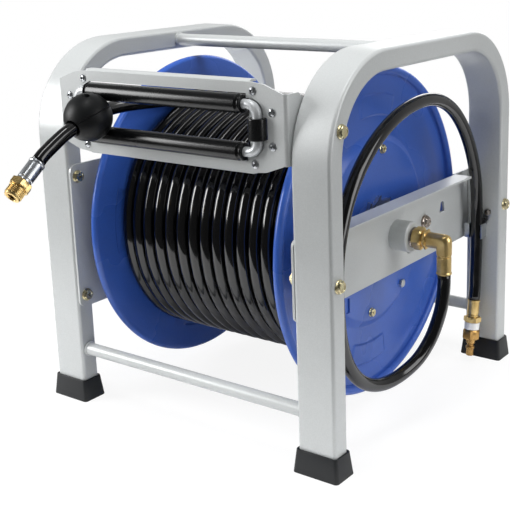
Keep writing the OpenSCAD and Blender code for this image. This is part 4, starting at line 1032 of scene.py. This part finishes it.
def makeFoot():
    bm = bmesh.new()
    bmesh.ops.create_cube(bm, size=1)
    bmesh.ops.translate(bm, verts=bm.verts, vec=(0, 0, 0.5))
    for vert in bm.verts:
        wide = foot["top"] if vert.co.z > 0.5 else foot["base"]
        vert.co = (vert.co.x * wide[0], vert.co.y * wide[1], vert.co.z * foot["height"])
    upright = [e for e in bm.edges if abs(e.verts[0].co.z - e.verts[1].co.z) > 1]
    bmesh.ops.bevel(bm, geom=upright, offset=foot["corner"], affect="EDGES", segments=6, profile=0.5,
                    material=-1)
    top = [f for f in bm.faces if f.normal.z > 0.9]
    lip = (foot["top"][0] - foot["tube"][0]) / 2 - foot["play"]
    bmesh.ops.inset_region(bm, faces=top, thickness=lip, use_even_offset=True)
    # the well that the tube stands in is the one large face that looks up
    wellArea = 0.7 * foot["tube"][0] * foot["tube"][1]
    inner = [f for f in bm.faces if f.normal.z > 0.9 and f.calc_area() > wellArea]
    well = bmesh.ops.extrude_face_region(bm, geom=inner)["geom"]
    bmesh.ops.translate(bm, verts=[v for v in well if isinstance(v, bmesh.types.BMVert)],
                        vec=(0, 0, foot["sole"] - foot["height"]))
    bmesh.ops.delete(bm, geom=inner, context="FACES")
    sharp = [e for e in bm.edges if len(e.link_faces) == 2 and e.calc_face_angle(0) > 1.0]
    bmesh.ops.bevel(bm, geom=sharp, offset=foot["edge"], affect="EDGES", segments=3, profile=0.5,
                    material=-1)
    return bm


def makeFeet():
    bm = bmesh.new()
    for sx in (-1, 1):
        for sy in (-1, 1):
            join(bm, makeFoot(), placing((sx * foot["x"], sy * foot["y"], 0)))
    addPiece("mouldedFeet", bm, footRubber, "stand", ["rubber_feet"], 40)


makeFeet()
print("fasteners and feet done")


# studio, in metres
studio = {
    "floor": "#ffffff", "floorRough": 0.8,
    "floorRadius": 0.85, "floorSides": 96, "floorCentre": (-0.3, 0.15, 0.0),
    "glow": 1.03, "glowNear": (0.45, 0.86), "glowFar": (0.8, 1.0),      # distance, share of the glow
    "worldLight": 0.11,      # on what is lit; the camera sees white
    "front": (-0.3, 0.08), "behind": (0.9, 0.5),        # what metal and gloss reflect, from dark to white
    "lamps": (
        # name, place, aim, size, watts, whether gloss reflects it
        ("boxLeft", (-1.4, -1.2, 0.85), (0.0, -0.1, 0.28), (0.8, 0.95), 27.0, True),
        ("windowTop", (0.2, -0.45, 2.6), (0.0, 0.0, 0.2), (1.4, 1.4), 52.0, False),
        ("stripTop", (0.1, -0.5, 2.4), (0.0, 0.0, 0.2), (0.25, 1.3), 8.0, True),
        ("windowRight", (1.2, 0.1, 0.65), (0.0, 0.0, 0.25), (0.6, 1.0), 6.2, True),
        ("backFill", (-0.6, 2.4, 1.2), (0.0, 0.0, 0.2), (1.4, 1.0), 12.0, True),
    ),
}


def makeWorld():
    world = bpy.data.worlds.new("studio")
    bpy.context.scene.world = world
    world.use_nodes = True
    tree = world.node_tree
    tree.nodes.clear()
    path = addNode(tree, "ShaderNodeLightPath")
    mirrored = addNode(tree, "ShaderNodeMath", {0: path.outputs["Is Glossy Ray"],
                                                1: path.outputs["Is Transmission Ray"]},
                       operation="MAXIMUM")
    sky = addNode(tree, "ShaderNodeTexCoord")
    parts = addNode(tree, "ShaderNodeSeparateXYZ", {"Vector": sky.outputs["Generated"]})
    (frontY, front), (behindY, behind) = studio["front"], studio["behind"]
    pale = addRange(tree, parts.outputs["Y"], (frontY, behindY), (front, behind))
    light = addRange(tree, mirrored.outputs[0], reached=(studio["worldLight"], pale))
    strength = addRange(tree, path.outputs["Is Camera Ray"], reached=(light, 1.0))
    background = addNode(tree, "ShaderNodeBackground", {"Color": (1, 1, 1, 1), "Strength": strength})
    addNode(tree, "ShaderNodeOutputWorld", {"Surface": background.outputs[0]})


# the camera sees the floor nearly white, and weaker near the reel, where the shadow falls
def makeFloor():
    bm = bmesh.new()
    bmesh.ops.create_circle(bm, cap_ends=True, segments=studio["floorSides"], radius=studio["floorRadius"])
    bmesh.ops.translate(bm, verts=bm.verts, vec=studio["floorCentre"])
    floor = addObject("floor", meshFromBm("floor", bm))
    material, tree, shader, place = startMaterial("paleFloor")
    shader.inputs["Base Color"].default_value = toLinear(studio["floor"])
    shader.inputs["Roughness"].default_value = studio["floorRough"]
    glow = addNode(tree, "ShaderNodeEmission", {"Color": (1, 1, 1, 1), "Strength": studio["glow"]})
    path = addNode(tree, "ShaderNodeLightPath")
    far = addNode(tree, "ShaderNodeVectorMath", {0: place}, operation="LENGTH")
    (nearest, least), (farthest, most) = studio["glowNear"], studio["glowFar"]
    glowShare = addRange(tree, far.outputs["Value"], (nearest, farthest), (least, most))
    share = addNode(tree, "ShaderNodeMath", {0: path.outputs["Is Camera Ray"], 1: glowShare},
                    operation="MULTIPLY")
    mixed = addNode(tree, "ShaderNodeMixShader",
                    {0: share.outputs[0], 1: shader.outputs[0], 2: glow.outputs[0]})
    output = next(n for n in tree.nodes if n.type == "OUTPUT_MATERIAL")
    tree.links.new(mixed.outputs[0], output.inputs["Surface"])
    floor.data.materials.append(material)


def makeLamps():
    for name, place, aim, size, watts, mirrored in studio["lamps"]:
        lamp = bpy.data.lights.new(name, "AREA")
        lamp.shape = "RECTANGLE"
        lamp.size, lamp.size_y = size
        lamp.energy = watts
        obj = addObject(name, lamp)
        obj.visible_glossy = mirrored
        obj.location = place
        obj.rotation_euler = (Vector(aim) - Vector(place)).to_track_quat("-Z", "Y").to_euler()


makeWorld()
makeFloor()
makeLamps()
bpy.context.scene.view_settings.view_transform = "Standard"
print("studio done")
